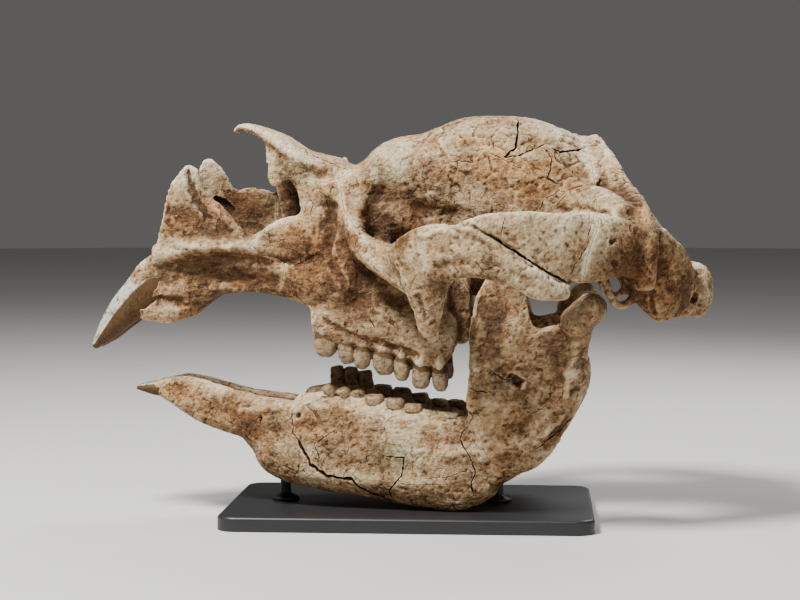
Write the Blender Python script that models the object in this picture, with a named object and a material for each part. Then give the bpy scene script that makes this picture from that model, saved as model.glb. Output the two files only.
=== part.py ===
"""Skull and lower jaw of a diprotodon, a giant extinct marsupial, at life size on a plain display stand.

The animal's midline is the plane Y = 0, its snout points to -X and its left side faces -Y. Sizes in the
tables are millimetres. Most bone is grown from limbs, smooth tubes with an oval section that follow a few
stations. The limbs of one bone mass are fused into a single skin, thinned, and parted along the sutures.
"""
import math

import bmesh
import bpy
from mathutils import Matrix, Vector

MM = 0.001
LEFT, RIGHT = -1, 1
BOTH = (LEFT, RIGHT)
SIDE_NAMES = {LEFT: "left", RIGHT: "right"}

# Driving sizes, in millimetres.
FUSE_CELL = 4.0             # grid on which overlapping limbs are fused
FILLET = 4.5                # radius of the hollows where they meet
SUTURE = 0.6                # width of the thin cuts between bones
SEAT_GAP = 0.3              # clearance between pieces that touch
CRANIUM_FACES = 3110
JAW_FACES = 1285
RING_POINTS = 16
RINGS_PER_SPAN = 4

BASE_LENGTH = 470           # display base
BASE_WIDTH = 300
BASE_THICKNESS = 18
BASE_CORNER = 25
BASE_BEVEL = 4
BASE_MIDDLE_X = 15
ROD_RADIUS = 7
ROD_SIDES = 24
FOOT_RADIUS = 18
CRANIUM_ROD_X = 128
CRANIUM_ROD_TOP = 312       # the rods' tops, as the skull lies before it is lowered onto the base
JAW_ROD_X = -150
JAW_ROD_TOP = 84

# Finishes: colour, roughness, metallic.
FINISHES = {
    "bone": ((0.42, 0.34, 0.25), 0.65, 0.0),
    "cheek_bone": ((0.50, 0.45, 0.36), 0.6, 0.0),
    "tooth": ((0.55, 0.50, 0.40), 0.4, 0.0),
    "stand": ((0.03, 0.03, 0.03), 0.45, 0.0),
}


# ---------------------------------------------------------------- shaping tools

def new_object(name, mesh):
    obj = bpy.data.objects.new(name, mesh)
    bpy.context.scene.collection.objects.link(obj)
    return obj


def evaluated_mesh(obj):
    """The object's mesh with its modifiers applied; the object itself is removed."""
    graph = bpy.context.evaluated_depsgraph_get()
    mesh = bpy.data.meshes.new_from_object(obj.evaluated_get(graph))
    bpy.data.objects.remove(obj)
    return mesh


def between(stations, position):
    """A station on the smooth curve through the stations, position counting from 0 at the first."""
    last = len(stations) - 1
    start = min(int(position), last - 1)
    t = position - start
    before = stations[max(start - 1, 0)]
    after = stations[min(start + 2, last)]
    values = []
    for a, b, c, d in zip(before, stations[start], stations[start + 1], after):
        slope_b = (c - a) / 2
        slope_c = (d - b) / 2
        rise = c - b
        values.append(b + t * slope_b + t * t * (3 * rise - 2 * slope_b - slope_c)
                      + t * t * t * (slope_b + slope_c - 2 * rise))
    return values


def ring_matrix(centre, tangent, wide_axis, wide, deep):
    """Places a unit circle across the tangent, wide along wide_axis and deep across it."""
    across = wide_axis - tangent * wide_axis.dot(tangent)
    across.normalize()
    third = tangent.cross(across)
    turn = Matrix((across * wide, third * deep, tangent)).transposed().to_4x4()
    return Matrix.Translation(centre) @ turn


def limb(bm, stations, side=LEFT, wide_axis=(0, 1, 0), squareness=2.0, nose=0.6, coarse=False):
    """A tube with rounded ends through stations of (x, y, z, half width, half depth)."""
    ring_points, rings_per_span = (10, 2) if coarse else (RING_POINTS, RINGS_PER_SPAN)
    wide_axis = Vector(wide_axis)
    stations = [(x, y * side, z, wide, deep) for x, y, z, wide, deep in stations]
    spans = len(stations) - 1
    count = spans * rings_per_span
    positions = [spans * i / count for i in range(count + 1)]
    centres = [Vector(between(stations, p)[:3]) for p in positions]
    rings = []
    for i, position in enumerate(positions):
        tangent = (centres[min(i + 1, count)] - centres[max(i - 1, 0)]).normalized()
        wide, deep = (max(v, 0.5) for v in between(stations, position)[3:])
        rings.append((centres[i], tangent, wide, deep))
    start_cap, end_cap = [], []
    for k in (0.5, 0.8, 0.95):
        for (centre, tangent, wide, deep), cap, way in ((rings[0], start_cap, -1), (rings[-1], end_cap, 1)):
            shrink = math.sqrt(1 - k * k)
            cap.append((centre + tangent * way * nose * min(wide, deep) * k, tangent,
                        wide * shrink, deep * shrink))
    rings = start_cap[::-1] + rings + end_cap

    tube = bmesh.new()
    previous = []
    for i, (centre, tangent, wide, deep) in enumerate(rings):
        at_end = i in (0, len(rings) - 1)
        made = bmesh.ops.create_circle(tube, segments=ring_points, radius=1, cap_ends=at_end)["verts"]
        for vert in made:
            for axis in (0, 1):
                value = vert.co[axis]
                vert.co[axis] = math.copysign(abs(value) ** (2 / squareness), value)
        bmesh.ops.transform(tube, verts=made, matrix=ring_matrix(centre, tangent, wide_axis, wide, deep))
        edges = list({edge for vert in made for edge in vert.link_edges})
        if previous:
            bmesh.ops.bridge_loops(tube, edges=previous + edges)
        previous = edges
    add_shape(bm, tube)


def add_shape(bm, shape):
    """Joins one closed shape to the shapes in bm."""
    bmesh.ops.recalc_face_normals(shape, faces=shape.faces)
    mesh = bpy.data.meshes.new("shape")
    shape.to_mesh(mesh)
    shape.free()
    bm.from_mesh(mesh)
    bpy.data.meshes.remove(mesh)


def blob(bm, centre, halves, side=LEFT):
    """An ellipsoid with half sizes along X, Y and Z."""
    x, y, z = centre
    place = Matrix.Translation((x, y * side, z)) @ Matrix.Diagonal((*halves, 1))
    bmesh.ops.create_icosphere(bm, subdivisions=3, radius=1, matrix=place)


def mesh_in_metres(bm, name):
    bmesh.ops.scale(bm, vec=(MM, MM, MM), verts=bm.verts)
    mesh = bpy.data.meshes.new(name)
    bm.to_mesh(mesh)
    bm.free()
    return mesh


def fused(name, build, faces):
    """One skin of about so many faces round the limbs that build adds, rounded where they meet."""
    bm = bmesh.new()
    build(bm)
    obj = new_object(name, mesh_in_metres(bm, name))
    for growth in (FILLET, -FILLET, 0):
        remesh = obj.modifiers.new("fuse", "REMESH")
        remesh.mode = "VOXEL"
        remesh.voxel_size = FUSE_CELL * MM
        grow = obj.modifiers.new("grow", "DISPLACE")
        grow.strength = growth * MM
        grow.mid_level = 0
    soften = obj.modifiers.new("soften", "SMOOTH")
    soften.iterations = 3
    obj = new_object(name, evaluated_mesh(obj))
    thin = obj.modifiers.new("thin", "DECIMATE")
    thin.ratio = faces / (2 * len(obj.data.polygons))
    return evaluated_mesh(obj)


def cut(mesh, cutter_mesh, operation="DIFFERENCE"):
    """The mesh after a Boolean with a cutter that isn't kept."""
    obj = new_object("cut", mesh)
    cutter = new_object("cutter", cutter_mesh)
    boolean = obj.modifiers.new("cut", "BOOLEAN")
    boolean.operation = operation
    boolean.object = cutter
    result = evaluated_mesh(obj)
    bpy.data.objects.remove(cutter)
    return result


def curtain(route, low, high, upright=False):
    """A thin wall along a route, to cut with: the route is (x, z) and the wall spans Y from low to high,
    or with upright the route is (x, y) and the wall spans Z."""
    bm = bmesh.new()
    verts = [bm.verts.new((a, b, low) if upright else (a, low, b)) for a, b in route]
    edges = [bm.edges.new(pair) for pair in zip(verts, verts[1:])]
    span = high - low
    made = bmesh.ops.extrude_edge_only(bm, edges=edges)["geom"]
    moved = [item for item in made if isinstance(item, bmesh.types.BMVert)]
    bmesh.ops.translate(bm, verts=moved, vec=(0, 0, span) if upright else (0, span, 0))
    obj = new_object("curtain", mesh_in_metres(bm, "curtain"))
    wall = obj.modifiers.new("wall", "SOLIDIFY")
    wall.thickness = SUTURE * MM
    wall.offset = 0
    wall.use_even_offset = True
    mesh = evaluated_mesh(obj)
    bm = bmesh.new()
    bm.from_mesh(mesh)
    bmesh.ops.recalc_face_normals(bm, faces=bm.faces)
    bm.to_mesh(mesh)
    bm.free()
    return mesh


def islands(bm):
    """The separate shells of a bmesh, each as a set of faces."""
    left = set(bm.faces)
    while left:
        shell, reach = set(), [left.pop()]
        while reach:
            face = reach.pop()
            shell.add(face)
            for edge in face.edges:
                for other in edge.link_faces:
                    if other in left:
                        left.remove(other)
                        reach.append(other)
        yield shell


def shell_volume(shell):
    """Six times the volume that a closed shell holds, divided by six."""
    total = 0
    for face in shell:
        corner = face.verts[0].co
        for a, b in zip(face.verts[1:], face.verts[2:]):
            total += corner.dot(a.co.cross(b.co))
    return total / 6


def shells_of(mesh, smallest=3e-6):
    """The mesh's shells as meshes of their own, with their middles; chips under smallest m3 go."""
    source = bmesh.new()
    source.from_mesh(mesh)
    found = []
    for shell in islands(source):
        if shell_volume(shell) < smallest:
            continue
        piece = source.copy()
        piece.faces.ensure_lookup_table()
        source.faces.index_update()
        keep = {face.index for face in shell}
        lost = [face for face in piece.faces if face.index not in keep]
        bmesh.ops.delete(piece, geom=lost, context="FACES")
        middle = sum((vert.co for vert in piece.verts), Vector()) / len(piece.verts)
        result = bpy.data.meshes.new("shell")
        piece.to_mesh(result)
        piece.free()
        found.append((middle / MM, result))
    source.free()
    return found


# ---------------------------------------------------------------- cranium

# Upper cheek teeth: x, y, z of each crown's middle, and its half length.
UPPER_TEETH = [(-90, 64, 230, 15), (-63, 66, 221, 11.5), (-42, 69, 215, 11), (-15, 73, 208, 14),
               (8, 76, 201, 10), (33, 80, 191, 12), (56, 82, 188, 10)]


def rostrum(bm):
    """Snout: premaxillae with the incisor sockets, the walls of the nasal opening and the nasals."""
    for side in BOTH:
        # core of the snout, back to the cheek teeth
        limb(bm, [(-312, 27, 306, 20, 36), (-285, 28, 313, 23, 46), (-250, 27, 326, 22, 38),
                  (-200, 28, 327, 22, 32), (-150, 34, 320, 26, 30), (-105, 46, 314, 34, 33),
                  (-60, 54, 312, 40, 42)], side)
        # swelling over the root of the great incisor
        limb(bm, [(-308, 35, 340, 15, 18), (-285, 40, 349, 19, 18), (-250, 43, 356, 20, 15),
                  (-205, 45, 357, 20, 14), (-172, 47, 352, 18, 13), (-135, 54, 345, 14, 14)], side)
        # front of the socket, below and beside the incisor
        limb(bm, [(-338, 27, 272, 14, 9), (-326, 28, 287, 18, 13), (-308, 28, 306, 20, 26)], side)
        # sockets of the two small incisors and the edge of the toothless gap
        limb(bm, [(-336, 27, 265, 8, 8), (-320, 29, 267, 11, 12), (-302, 32, 269, 14, 16),
                  (-280, 33, 276, 15, 16), (-258, 34, 290, 13, 13), (-225, 36, 304, 12, 11),
                  (-170, 41, 306, 13, 12),
                  (-130, 48, 299, 15, 14), (-100, 56, 292, 18, 18)], side)
        # wall behind the nasal opening, from the nasals down to the cheek
        limb(bm, [(-150, 34, 478, 9, 16), (-132, 42, 462, 10, 18), (-108, 52, 440, 12, 26),
                  (-88, 62, 418, 13, 40), (-60, 74, 402, 14, 54)], side)
        # lobe that hangs from the nasal in front of the hollow
        limb(bm, [(-160, 28, 482, 9, 12), (-158, 37, 464, 8, 12), (-157, 42, 446, 7, 12),
                  (-155, 44, 434, 6, 9)], side)
        # nasal bone
        limb(bm, [(-214, 7, 503, 6, 3), (-204, 13, 508, 13, 4), (-180, 18, 502, 19, 8),
                  (-155, 22, 487, 24, 13), (-125, 26, 466, 30, 15), (-90, 30, 454, 36, 17),
                  (-55, 34, 439, 42, 18), (-20, 38, 440, 46, 26)], side)
    # upright plates of the premaxillae: the left one is broken lower than the right
    limb(bm, [(-250, 46, 345, 9, 70), (-255, 48, 366, 8, 62), (-264, 49, 390, 7, 46),
              (-271, 49, 418, 6.5, 29), (-271, 48, 440, 6, 17), (-267, 46, 457, 5, 8)], LEFT)
    limb(bm, [(-245, 48, 362, 8, 66), (-252, 49, 398, 7, 50), (-263, 49, 430, 6.5, 31),
              (-262, 47, 454, 6, 20), (-258, 46, 467, 5, 9)], RIGHT)
    limb(bm, [(-240, 50, 394, 7, 34), (-190, 52, 394, 7, 36), (-155, 54, 384, 8, 28),
              (-120, 60, 380, 9, 26)], RIGHT)
    limb(bm, [(-172, 52, 352, 7, 10), (-150, 56, 360, 8, 22), (-127, 60, 368, 9, 27),
              (-98, 68, 366, 10, 28), (-75, 76, 360, 12, 32)], LEFT)
    limb(bm, [(-192, 52, 358, 5, 5), (-172, 55, 371, 5, 5), (-155, 58, 382, 6, 5),
              (-138, 61, 388, 5, 5), (-122, 64, 388, 4, 4)], LEFT)
    # floor of the nasal opening and the palate below it
    limb(bm, [(-290, 0, 345, 34, 10), (-240, 0, 342, 40, 9), (-170, 0, 342, 44, 9),
              (-100, 0, 350, 56, 12)])
    limb(bm, [(-296, 0, 300, 20, 22), (-250, 0, 322, 24, 18), (-180, 0, 322, 26, 16),
              (-110, 0, 318, 36, 20)])
    # partition between the nasal passages
    limb(bm, [(-142, 0, 400, 5, 44), (-110, 0, 412, 6, 56), (-70, 0, 412, 8, 60)])


def face(bm):
    """Solid middle of the face between the cheek teeth and the forehead, and the tooth rows."""
    limb(bm, [(-104, 0, 322, 56, 40), (-70, 0, 332, 70, 58), (-20, 0, 332, 70, 56),
              (30, 0, 322, 62, 46), (72, 0, 318, 54, 36)], squareness=2.4)
    limb(bm, [(-92, 0, 402, 50, 54), (-58, 0, 396, 66, 56), (-15, 0, 390, 62, 60)], squareness=2.2)
    for side in BOTH:
        limb(bm, [(-103, 61, 262, 12, 20), (-84, 64, 262, 18, 30), (-50, 67, 258, 22, 34),
                  (0, 71, 254, 23, 36), (45, 76, 244, 22, 38), (68, 78, 240, 16, 30)], side)
        for x, y, z, half in UPPER_TEETH:
            blob(bm, (x, y, z), (half, 16, 15), side)
        # side wall of the face above the teeth, and in front of the eye
        limb(bm, [(-104, 56, 292, 14, 24), (-60, 60, 292, 19, 36), (0, 63, 288, 20, 38),
                  (58, 64, 280, 14, 34)], side)
        limb(bm, [(-98, 58, 386, 12, 26), (-72, 66, 372, 15, 56), (-48, 70, 362, 16, 52)], side)


def cheek(bm):
    """Rim of the eye socket and the cheek arch."""
    for side in BOTH:
        # front rim of the eye socket, sweeping out into the arch
        limb(bm, [(-38, 62, 440, 16, 22), (-48, 76, 414, 14, 17), (-50, 86, 386, 14, 15),
                  (-44, 102, 360, 15, 14), (-20, 131, 341, 16, 15), (8, 160, 328, 17, 19),
                  (34, 186, 320, 15, 24)], side)
        # upper edge of that rim, and the floor of the eye socket
        limb(bm, [(-54, 90, 374, 11, 12), (-36, 112, 362, 12, 11), (-14, 138, 351, 12, 12),
                  (6, 164, 347, 12, 14), (24, 188, 350, 11, 18)], side)
        limb(bm, [(-40, 62, 354, 24, 12), (-18, 92, 348, 28, 12), (8, 124, 342, 30, 11),
                  (26, 156, 340, 32, 11), (36, 184, 340, 30, 12)], side, wide_axis=(1, 0, 0))
        # jugal, with its raised front corner
        limb(bm, [(14, 188, 348, 12, 22), (40, 202, 350, 13, 33), (70, 210, 350, 13, 36),
                  (100, 217, 345, 13, 24), (143, 219, 334, 13, 20), (180, 213, 316, 12, 20),
                  (205, 207, 305, 9, 12), (214, 205, 304, 6, 8)], side)
        # overlap of jugal and squamosal
        limb(bm, [(70, 210, 372, 9, 9), (112, 213, 362, 10, 14), (150, 212, 350, 10, 18),
                  (188, 205, 338, 10, 18), (212, 196, 330, 10, 14)], side)
        # process for the chewing muscle
        limb(bm, [(36, 196, 330, 14, 36), (45, 197, 304, 13, 24), (47, 194, 282, 12, 19),
                  (48, 190, 262, 10, 14), (54, 187, 248, 7, 8)], side)
        # squamosal part of the arch
        limb(bm, [(88, 213, 380, 7, 9), (118, 217, 382, 9, 17), (150, 217, 377, 10, 25),
                  (183, 210, 367, 12, 34), (215, 200, 358, 14, 43), (245, 182, 357, 18, 42),
                  (272, 158, 358, 22, 38), (294, 134, 358, 26, 38)], side)
        # shelf that carries the jaw joint
        limb(bm, [(230, 188, 340, 18, 12), (238, 152, 340, 28, 13), (246, 112, 340, 34, 18),
                  (244, 74, 340, 38, 24)], side, wide_axis=(1, 0, 0))


def vault(bm):
    """Forehead, braincase and the base of the skull."""
    # roof, wider than the wall below it at the eye sockets
    limb(bm, [(-58, 0, 428, 56, 28), (-30, 0, 432, 74, 40), (0, 0, 442, 82, 52),
              (30, 0, 438, 82, 66), (75, 0, 432, 80, 88), (120, 0, 428, 84, 96),
              (165, 0, 421, 88, 95), (200, 0, 412, 84, 90)], squareness=2.2, nose=0.2)
    # hind part, ridged like a roof
    limb(bm, [(150, 0, 418, 84, 94), (200, 0, 412, 96, 90), (242, 0, 402, 103, 88)],
         squareness=1.55, nose=0.05)
    # wall and base
    limb(bm, [(-40, 0, 380, 62, 54), (0, 0, 384, 58, 66), (40, 0, 384, 58, 70),
              (80, 0, 380, 66, 76), (130, 0, 376, 76, 84), (190, 0, 382, 90, 70),
              (250, 0, 380, 98, 60), (284, 0, 368, 94, 46)], squareness=2.3, nose=0.2)
    limb(bm, [(58, 0, 326, 44, 30), (120, 0, 322, 50, 34), (165, 0, 332, 56, 32),
              (205, 0, 344, 60, 29), (262, 0, 346, 60, 25), (302, 0, 334, 56, 25),
              (340, 0, 300, 45, 26)])
    for side in BOTH:
        # plate behind the palate
        limb(bm, [(66, 56, 312, 9, 30), (74, 54, 282, 8, 22), (80, 52, 252, 6, 12)], side)


def occiput(bm):
    """Back of the skull with its crest, the condyles for the neck and the ear region."""
    # plate behind the braincase, widest at its middle
    limb(bm, [(254, 0, 478, 34, 13), (266, 0, 452, 78, 15), (280, 0, 420, 116, 18),
              (292, 0, 388, 140, 22), (298, 0, 358, 146, 22), (300, 0, 338, 126, 18)],
         squareness=2.3)
    limb(bm, [(262, 0, 380, 104, 60), (296, 0, 364, 98, 44), (322, 0, 332, 84, 38),
              (344, 0, 307, 70, 35), (366, 0, 301, 52, 32)], squareness=2.3)
    for side in BOTH:
        # slope from the braincase to the root of the arch
        limb(bm, [(230, 92, 400, 18, 36), (252, 118, 396, 24, 34), (274, 140, 386, 20, 28)], side)
        limb(bm, [(250, 6, 490, 9, 10), (266, 50, 461, 9, 11), (286, 98, 427, 10, 12),
                  (304, 136, 398, 11, 12), (311, 150, 368, 12, 13), (308, 148, 338, 14, 15),
                  (307, 138, 310, 12, 15)], side)
        limb(bm, [(318, 112, 350, 15, 30), (323, 106, 312, 17, 32), (331, 100, 286, 15, 26),
                  (334, 96, 270, 10, 15)], side)
        limb(bm, [(304, 122, 358, 18, 38), (324, 104, 328, 22, 44), (346, 78, 308, 22, 38),
                  (360, 56, 302, 20, 32)], side)
        limb(bm, [(336, 88, 282, 14, 16), (356, 66, 281, 14, 15), (376, 46, 283, 14, 15)], side)
        blob(bm, (378, 40, 300), (23, 27, 35), side)
        # slender loop of bone below the ear opening
        limb(bm, [(261, 130, 344, 8, 10), (260, 126, 322, 6, 6), (265, 122, 302, 5.5, 5.5),
                  (273, 120, 287, 5.5, 5.5), (286, 115, 285, 5.5, 5.5), (297, 110, 297, 6, 6),
                  (303, 105, 314, 9, 9)], side)


def cranium(bm):
    rostrum(bm)
    face(bm)
    cheek(bm)
    vault(bm)
    occiput(bm)


# ---------------------------------------------------------------- lower jaw

def jaw(bm):
    limb(bm, [(-288, 0, 162, 12, 17), (-240, 0, 146, 24, 24), (-190, 0, 131, 30, 27),
              (-150, 0, 116, 32, 30), (-110, 0, 106, 28, 30), (-75, 0, 98, 18, 22)])
    for side in BOTH:
        # body of the jaw
        limb(bm, [(-320, 15, 171, 8, 7), (-302, 18, 168, 12, 15), (-277, 22, 162, 15, 24),
                  (-245, 26, 150, 19, 28),
                  (-219, 29, 141, 21, 29), (-193, 32, 134, 24, 30), (-166, 36, 122, 27, 41),
                  (-139, 42, 108, 29, 56), (-92, 53, 106, 30, 64), (-34, 62, 100, 28, 65),
                  (5, 68, 92, 28, 63), (45, 74, 86, 28, 62), (78, 80, 84, 27, 62),
                  (112, 86, 92, 22, 52)], side, squareness=2.3)
        # rising branch
        limb(bm, [(108, 88, 76, 20, 34), (124, 97, 100, 16, 46), (144, 104, 126, 13, 60),
                  (155, 110, 155, 11, 67), (165, 116, 190, 10, 74), (165, 121, 224, 10, 74),
                  (160, 124, 246, 9, 66)], side)
        limb(bm, [(140, 122, 214, 9, 46), (134, 124, 248, 9, 42), (134, 122, 280, 8, 36),
                  (140, 118, 310, 7, 28),
                  (150, 114, 338, 6, 16), (156, 112, 350, 5, 8)], side)
        limb(bm, [(220, 122, 205, 11, 22), (226, 128, 236, 12, 16), (231, 140, 258, 17, 16)], side)
        blob(bm, (234, 148, 274), (26, 41, 24), side)
        # thick lower and hind border, turned inwards at the angle
        limb(bm, [(60, 82, 40, 16, 15), (110, 88, 56, 16, 15), (150, 92, 92, 20, 12),
                  (186, 95, 122, 24, 11), (216, 97, 152, 26, 11), (233, 100, 187, 24, 10),
                  (235, 110, 216, 16, 9)], side)
        for x, y, z in ((-28, 64, 154), (-2, 66, 150), (22, 69, 146), (46, 72, 141), (70, 76, 140)):
            blob(bm, (x, y, z), (11, 14, 12), side)
    for side, teeth in ((LEFT, ((-94, 170, 9, 10), (-69, 165, 11, 11), (-50, 162, 10, 10))),
                        (RIGHT, ((-89, 180, 9, 16), (-69, 180, 9, 16), (-52, 177, 9, 16)))):
        for x, z, half_x, half_z in teeth:
            blob(bm, (x, 60, z), (half_x, 13, half_z), side)


# ---------------------------------------------------------------- incisors

UPPER_INCISOR = [(-398, 17, 224, 8, 5), (-384, 19, 240, 12, 12.5), (-366, 22, 262, 14, 19),
                 (-344, 25, 284, 15, 24), (-318, 27, 306, 14, 27), (-290, 28, 318, 11, 18)]
LOWER_INCISOR = [(-342, 13, 169, 7, 3), (-322, 15, 168, 9, 8), (-298, 17, 165, 8, 9),
                 (-272, 20, 158, 7, 8)]


def incisor(name, stations, side, growth=0.0):
    """A front tooth with its root; growth makes it fatter, to cut its socket."""
    bm = bmesh.new()
    limb(bm, [(x, y, z, wide + growth, deep + growth) for x, y, z, wide, deep in stations], side,
         coarse=True)
    return mesh_in_metres(bm, name)


# ---------------------------------------------------------------- parting into bones

REACH = 260     # past the cheek arches on either side
PREMAXILLA_SUTURE = [(-166, 468), (-168, 376), (-188, 353), (-142, 331), (-150, 300), (-158, 250)]
NASAL_SUTURE = [(-215, 478), (-168, 462), (-132, 442), (-90, 436), (-66, 444), (-52, 456), (-46, 500)]
FACE_SUTURE = [(-73, 447), (-71, 436), (-64, 400), (-38, 366), (20, 352), (76, 330), (92, 300), (98, 200)]
OCCIPUT_SUTURE = [(232, 540), (248, 440), (250, 385), (236, 346), (232, 320), (230, 230)]
ARCH_SUTURE = [(50, 396), (82, 376), (112, 367), (142, 351), (182, 330), (214, 314), (236, 290)]
JUGAL_ROOT = [(-30, 172), (92, 172)]                           # seen from above
SQUAMOSAL_ROOT = [(190, 122), (262, 122)]                      # seen from above
SYMPHYSIS = [(-330, 0), (-40, 0)]                              # seen from above
BONE_MIDDLES = {
    "premaxilla": (-250, 0, 340), "nasals": (-120, 0, 470), "maxilla": (-20, 0, 290),
    "braincase": (120, 0, 400), "occiput": (300, 0, 370),
    "jugal": (90, 205, 330), "squamosal": (190, 190, 365),
    "dentary": (20, 80, 130),
}


def name_of(middle):
    """The bone whose middle is nearest, with its side where there is one on each."""
    def distance(name):
        target = Vector(BONE_MIDDLES[name])
        spot = middle.copy()
        if target.y:
            spot.y = abs(spot.y)
        return (spot - target).length
    name = min(BONE_MIDDLES, key=distance)
    if BONE_MIDDLES[name][1]:
        name += "_" + SIDE_NAMES[LEFT if middle.y < 0 else RIGHT]
    return name


def parted_cranium():
    mesh = fused("cranium", cranium, CRANIUM_FACES)
    for route in (PREMAXILLA_SUTURE, NASAL_SUTURE, OCCIPUT_SUTURE):
        mesh = cut(mesh, curtain(route, -REACH, REACH))
    root_y = JUGAL_ROOT[0][1] + SUTURE
    mesh = cut(mesh, curtain(FACE_SUTURE, -root_y, root_y))
    for side in BOTH:
        mesh = cut(mesh, curtain(ARCH_SUTURE, *sorted((side * 140, side * REACH))))
        for route, floor, top in ((JUGAL_ROOT, 200, 420), (SQUAMOSAL_ROOT, 270, 440)):
            mesh = cut(mesh, curtain([(x, y * side) for x, y in route], floor, top, upright=True))
    return shells_of(mesh)


def parted_jaw():
    mesh = fused("jaw", jaw, JAW_FACES)
    return shells_of(cut(mesh, curtain(SYMPHYSIS, 0, 220, upright=True)))


# ---------------------------------------------------------------- stand

def turned(profile, centre):
    """A solid turned about the upright line through centre, from a profile of (radius, z)."""
    bm = bmesh.new()
    verts = [bm.verts.new((radius, 0, z)) for radius, z in profile]
    edges = [bm.edges.new(pair) for pair in zip(verts, verts[1:])]
    bmesh.ops.spin(bm, geom=verts + edges, axis=(0, 0, 1), cent=(0, 0, 0), angle=math.tau,
                   steps=ROD_SIDES, use_merge=True)
    bmesh.ops.remove_doubles(bm, verts=bm.verts, dist=0.01)
    bmesh.ops.recalc_face_normals(bm, faces=bm.faces)
    bmesh.ops.translate(bm, verts=bm.verts, vec=centre)
    return bm


def rod(name, x, top):
    """A stand rod with its round foot, from the base plate up into the bone."""
    foot = BASE_THICKNESS + SEAT_GAP
    profile = [(0, foot), (FOOT_RADIUS, foot), (FOOT_RADIUS, foot + 4), (ROD_RADIUS, foot + 9),
               (ROD_RADIUS, top), (0, top)]
    return mesh_in_metres(turned(profile, (x, 0, 0)), name)


def rod_hole(x, top, low=0):
    """The bore that a rod needs in a bone, with its clearance."""
    radius = ROD_RADIUS + SEAT_GAP
    profile = [(0, low), (radius, low), (radius, top + SEAT_GAP), (0, top + SEAT_GAP)]
    return mesh_in_metres(turned(profile, (x, 0, 0)), "hole")


def base_plate():
    bm = bmesh.new()
    place = Matrix.Translation((BASE_MIDDLE_X, 0, BASE_THICKNESS / 2))
    size = Matrix.Diagonal((BASE_LENGTH, BASE_WIDTH, BASE_THICKNESS, 1))
    bmesh.ops.create_cube(bm, size=1, matrix=place @ size)
    upright = [edge for edge in bm.edges if abs(edge.verts[0].co.z - edge.verts[1].co.z) > 1]
    bmesh.ops.bevel(bm, geom=upright, offset=BASE_CORNER, segments=6, profile=0.5,
                    affect="EDGES", material=-1)
    rim = [edge for edge in bm.edges if min(v.co.z for v in edge.verts) > BASE_THICKNESS - 1]
    bmesh.ops.bevel(bm, geom=rim, offset=BASE_BEVEL, segments=2, profile=0.5,
                    affect="EDGES", material=-1)
    return mesh_in_metres(bm, "stand_base")


# ---------------------------------------------------------------- assembly

def finish_of(name):
    if name.startswith("stand"):
        return "stand"
    if name.startswith("incisor"):
        return "tooth"
    return "cheek_bone" if name.startswith(("jugal", "squamosal")) else "bone"


def material(finish):
    colour, roughness, metallic = FINISHES[finish]
    made = bpy.data.materials.new(finish)
    made.use_nodes = True
    shader = made.node_tree.nodes["Principled BSDF"]
    shader.inputs["Base Color"].default_value = (*colour, 1)
    shader.inputs["Roughness"].default_value = roughness
    shader.inputs["Metallic"].default_value = metallic
    return made


def lowest(meshes):
    return min(vert.co.z for mesh in meshes for vert in mesh.vertices) / MM


def main():
    for obj in list(bpy.data.objects):
        bpy.data.objects.remove(obj)

    bones = {name_of(middle): mesh for middle, mesh in parted_cranium() + parted_jaw()}
    for side in BOTH:
        for level, stations, bone in (("upper", UPPER_INCISOR, "premaxilla"),
                                      ("lower", LOWER_INCISOR, "dentary_" + SIDE_NAMES[side])):
            name = "incisor_" + level + "_" + SIDE_NAMES[side]
            bones[bone] = cut(bones[bone], incisor("socket", stations, side, SEAT_GAP))
            bones[name] = incisor(name, stations, side)

    # the jaw stands on the base at its lowest points, and everything bony is lowered with it
    drop = BASE_THICKNESS + SEAT_GAP - lowest(bones.values())
    bones["braincase"] = cut(bones["braincase"], rod_hole(CRANIUM_ROD_X, CRANIUM_ROD_TOP))
    for side in BOTH:
        name = "dentary_" + SIDE_NAMES[side]
        bones[name] = cut(bones[name], rod_hole(JAW_ROD_X, JAW_ROD_TOP))

    objects = []
    for name, mesh in bones.items():
        obj = new_object(name, mesh)
        obj.location.z = drop * MM
        objects.append(obj)
    objects.append(new_object("stand_base", base_plate()))
    objects.append(new_object("stand_cranium_rod", rod("stand_cranium_rod", CRANIUM_ROD_X,
                                                       CRANIUM_ROD_TOP + drop)))
    objects.append(new_object("stand_jaw_rod", rod("stand_jaw_rod", JAW_ROD_X, JAW_ROD_TOP + drop)))

    # centre the whole over the origin
    corners = [vert.co for obj in objects for vert in obj.data.vertices]
    middle = [(min(c[axis] for c in corners) + max(c[axis] for c in corners)) / 2 for axis in (0, 1)]
    finishes = {finish: material(finish) for finish in FINISHES}
    for obj in objects:
        obj.location.x -= middle[0]
        obj.location.y -= middle[1]
        obj.data.materials.clear()
        obj.data.materials.append(finishes[finish_of(obj.name)])


main()
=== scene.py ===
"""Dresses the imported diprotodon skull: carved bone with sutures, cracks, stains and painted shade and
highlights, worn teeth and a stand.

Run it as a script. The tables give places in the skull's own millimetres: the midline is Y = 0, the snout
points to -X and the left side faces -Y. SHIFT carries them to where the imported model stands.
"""

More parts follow.
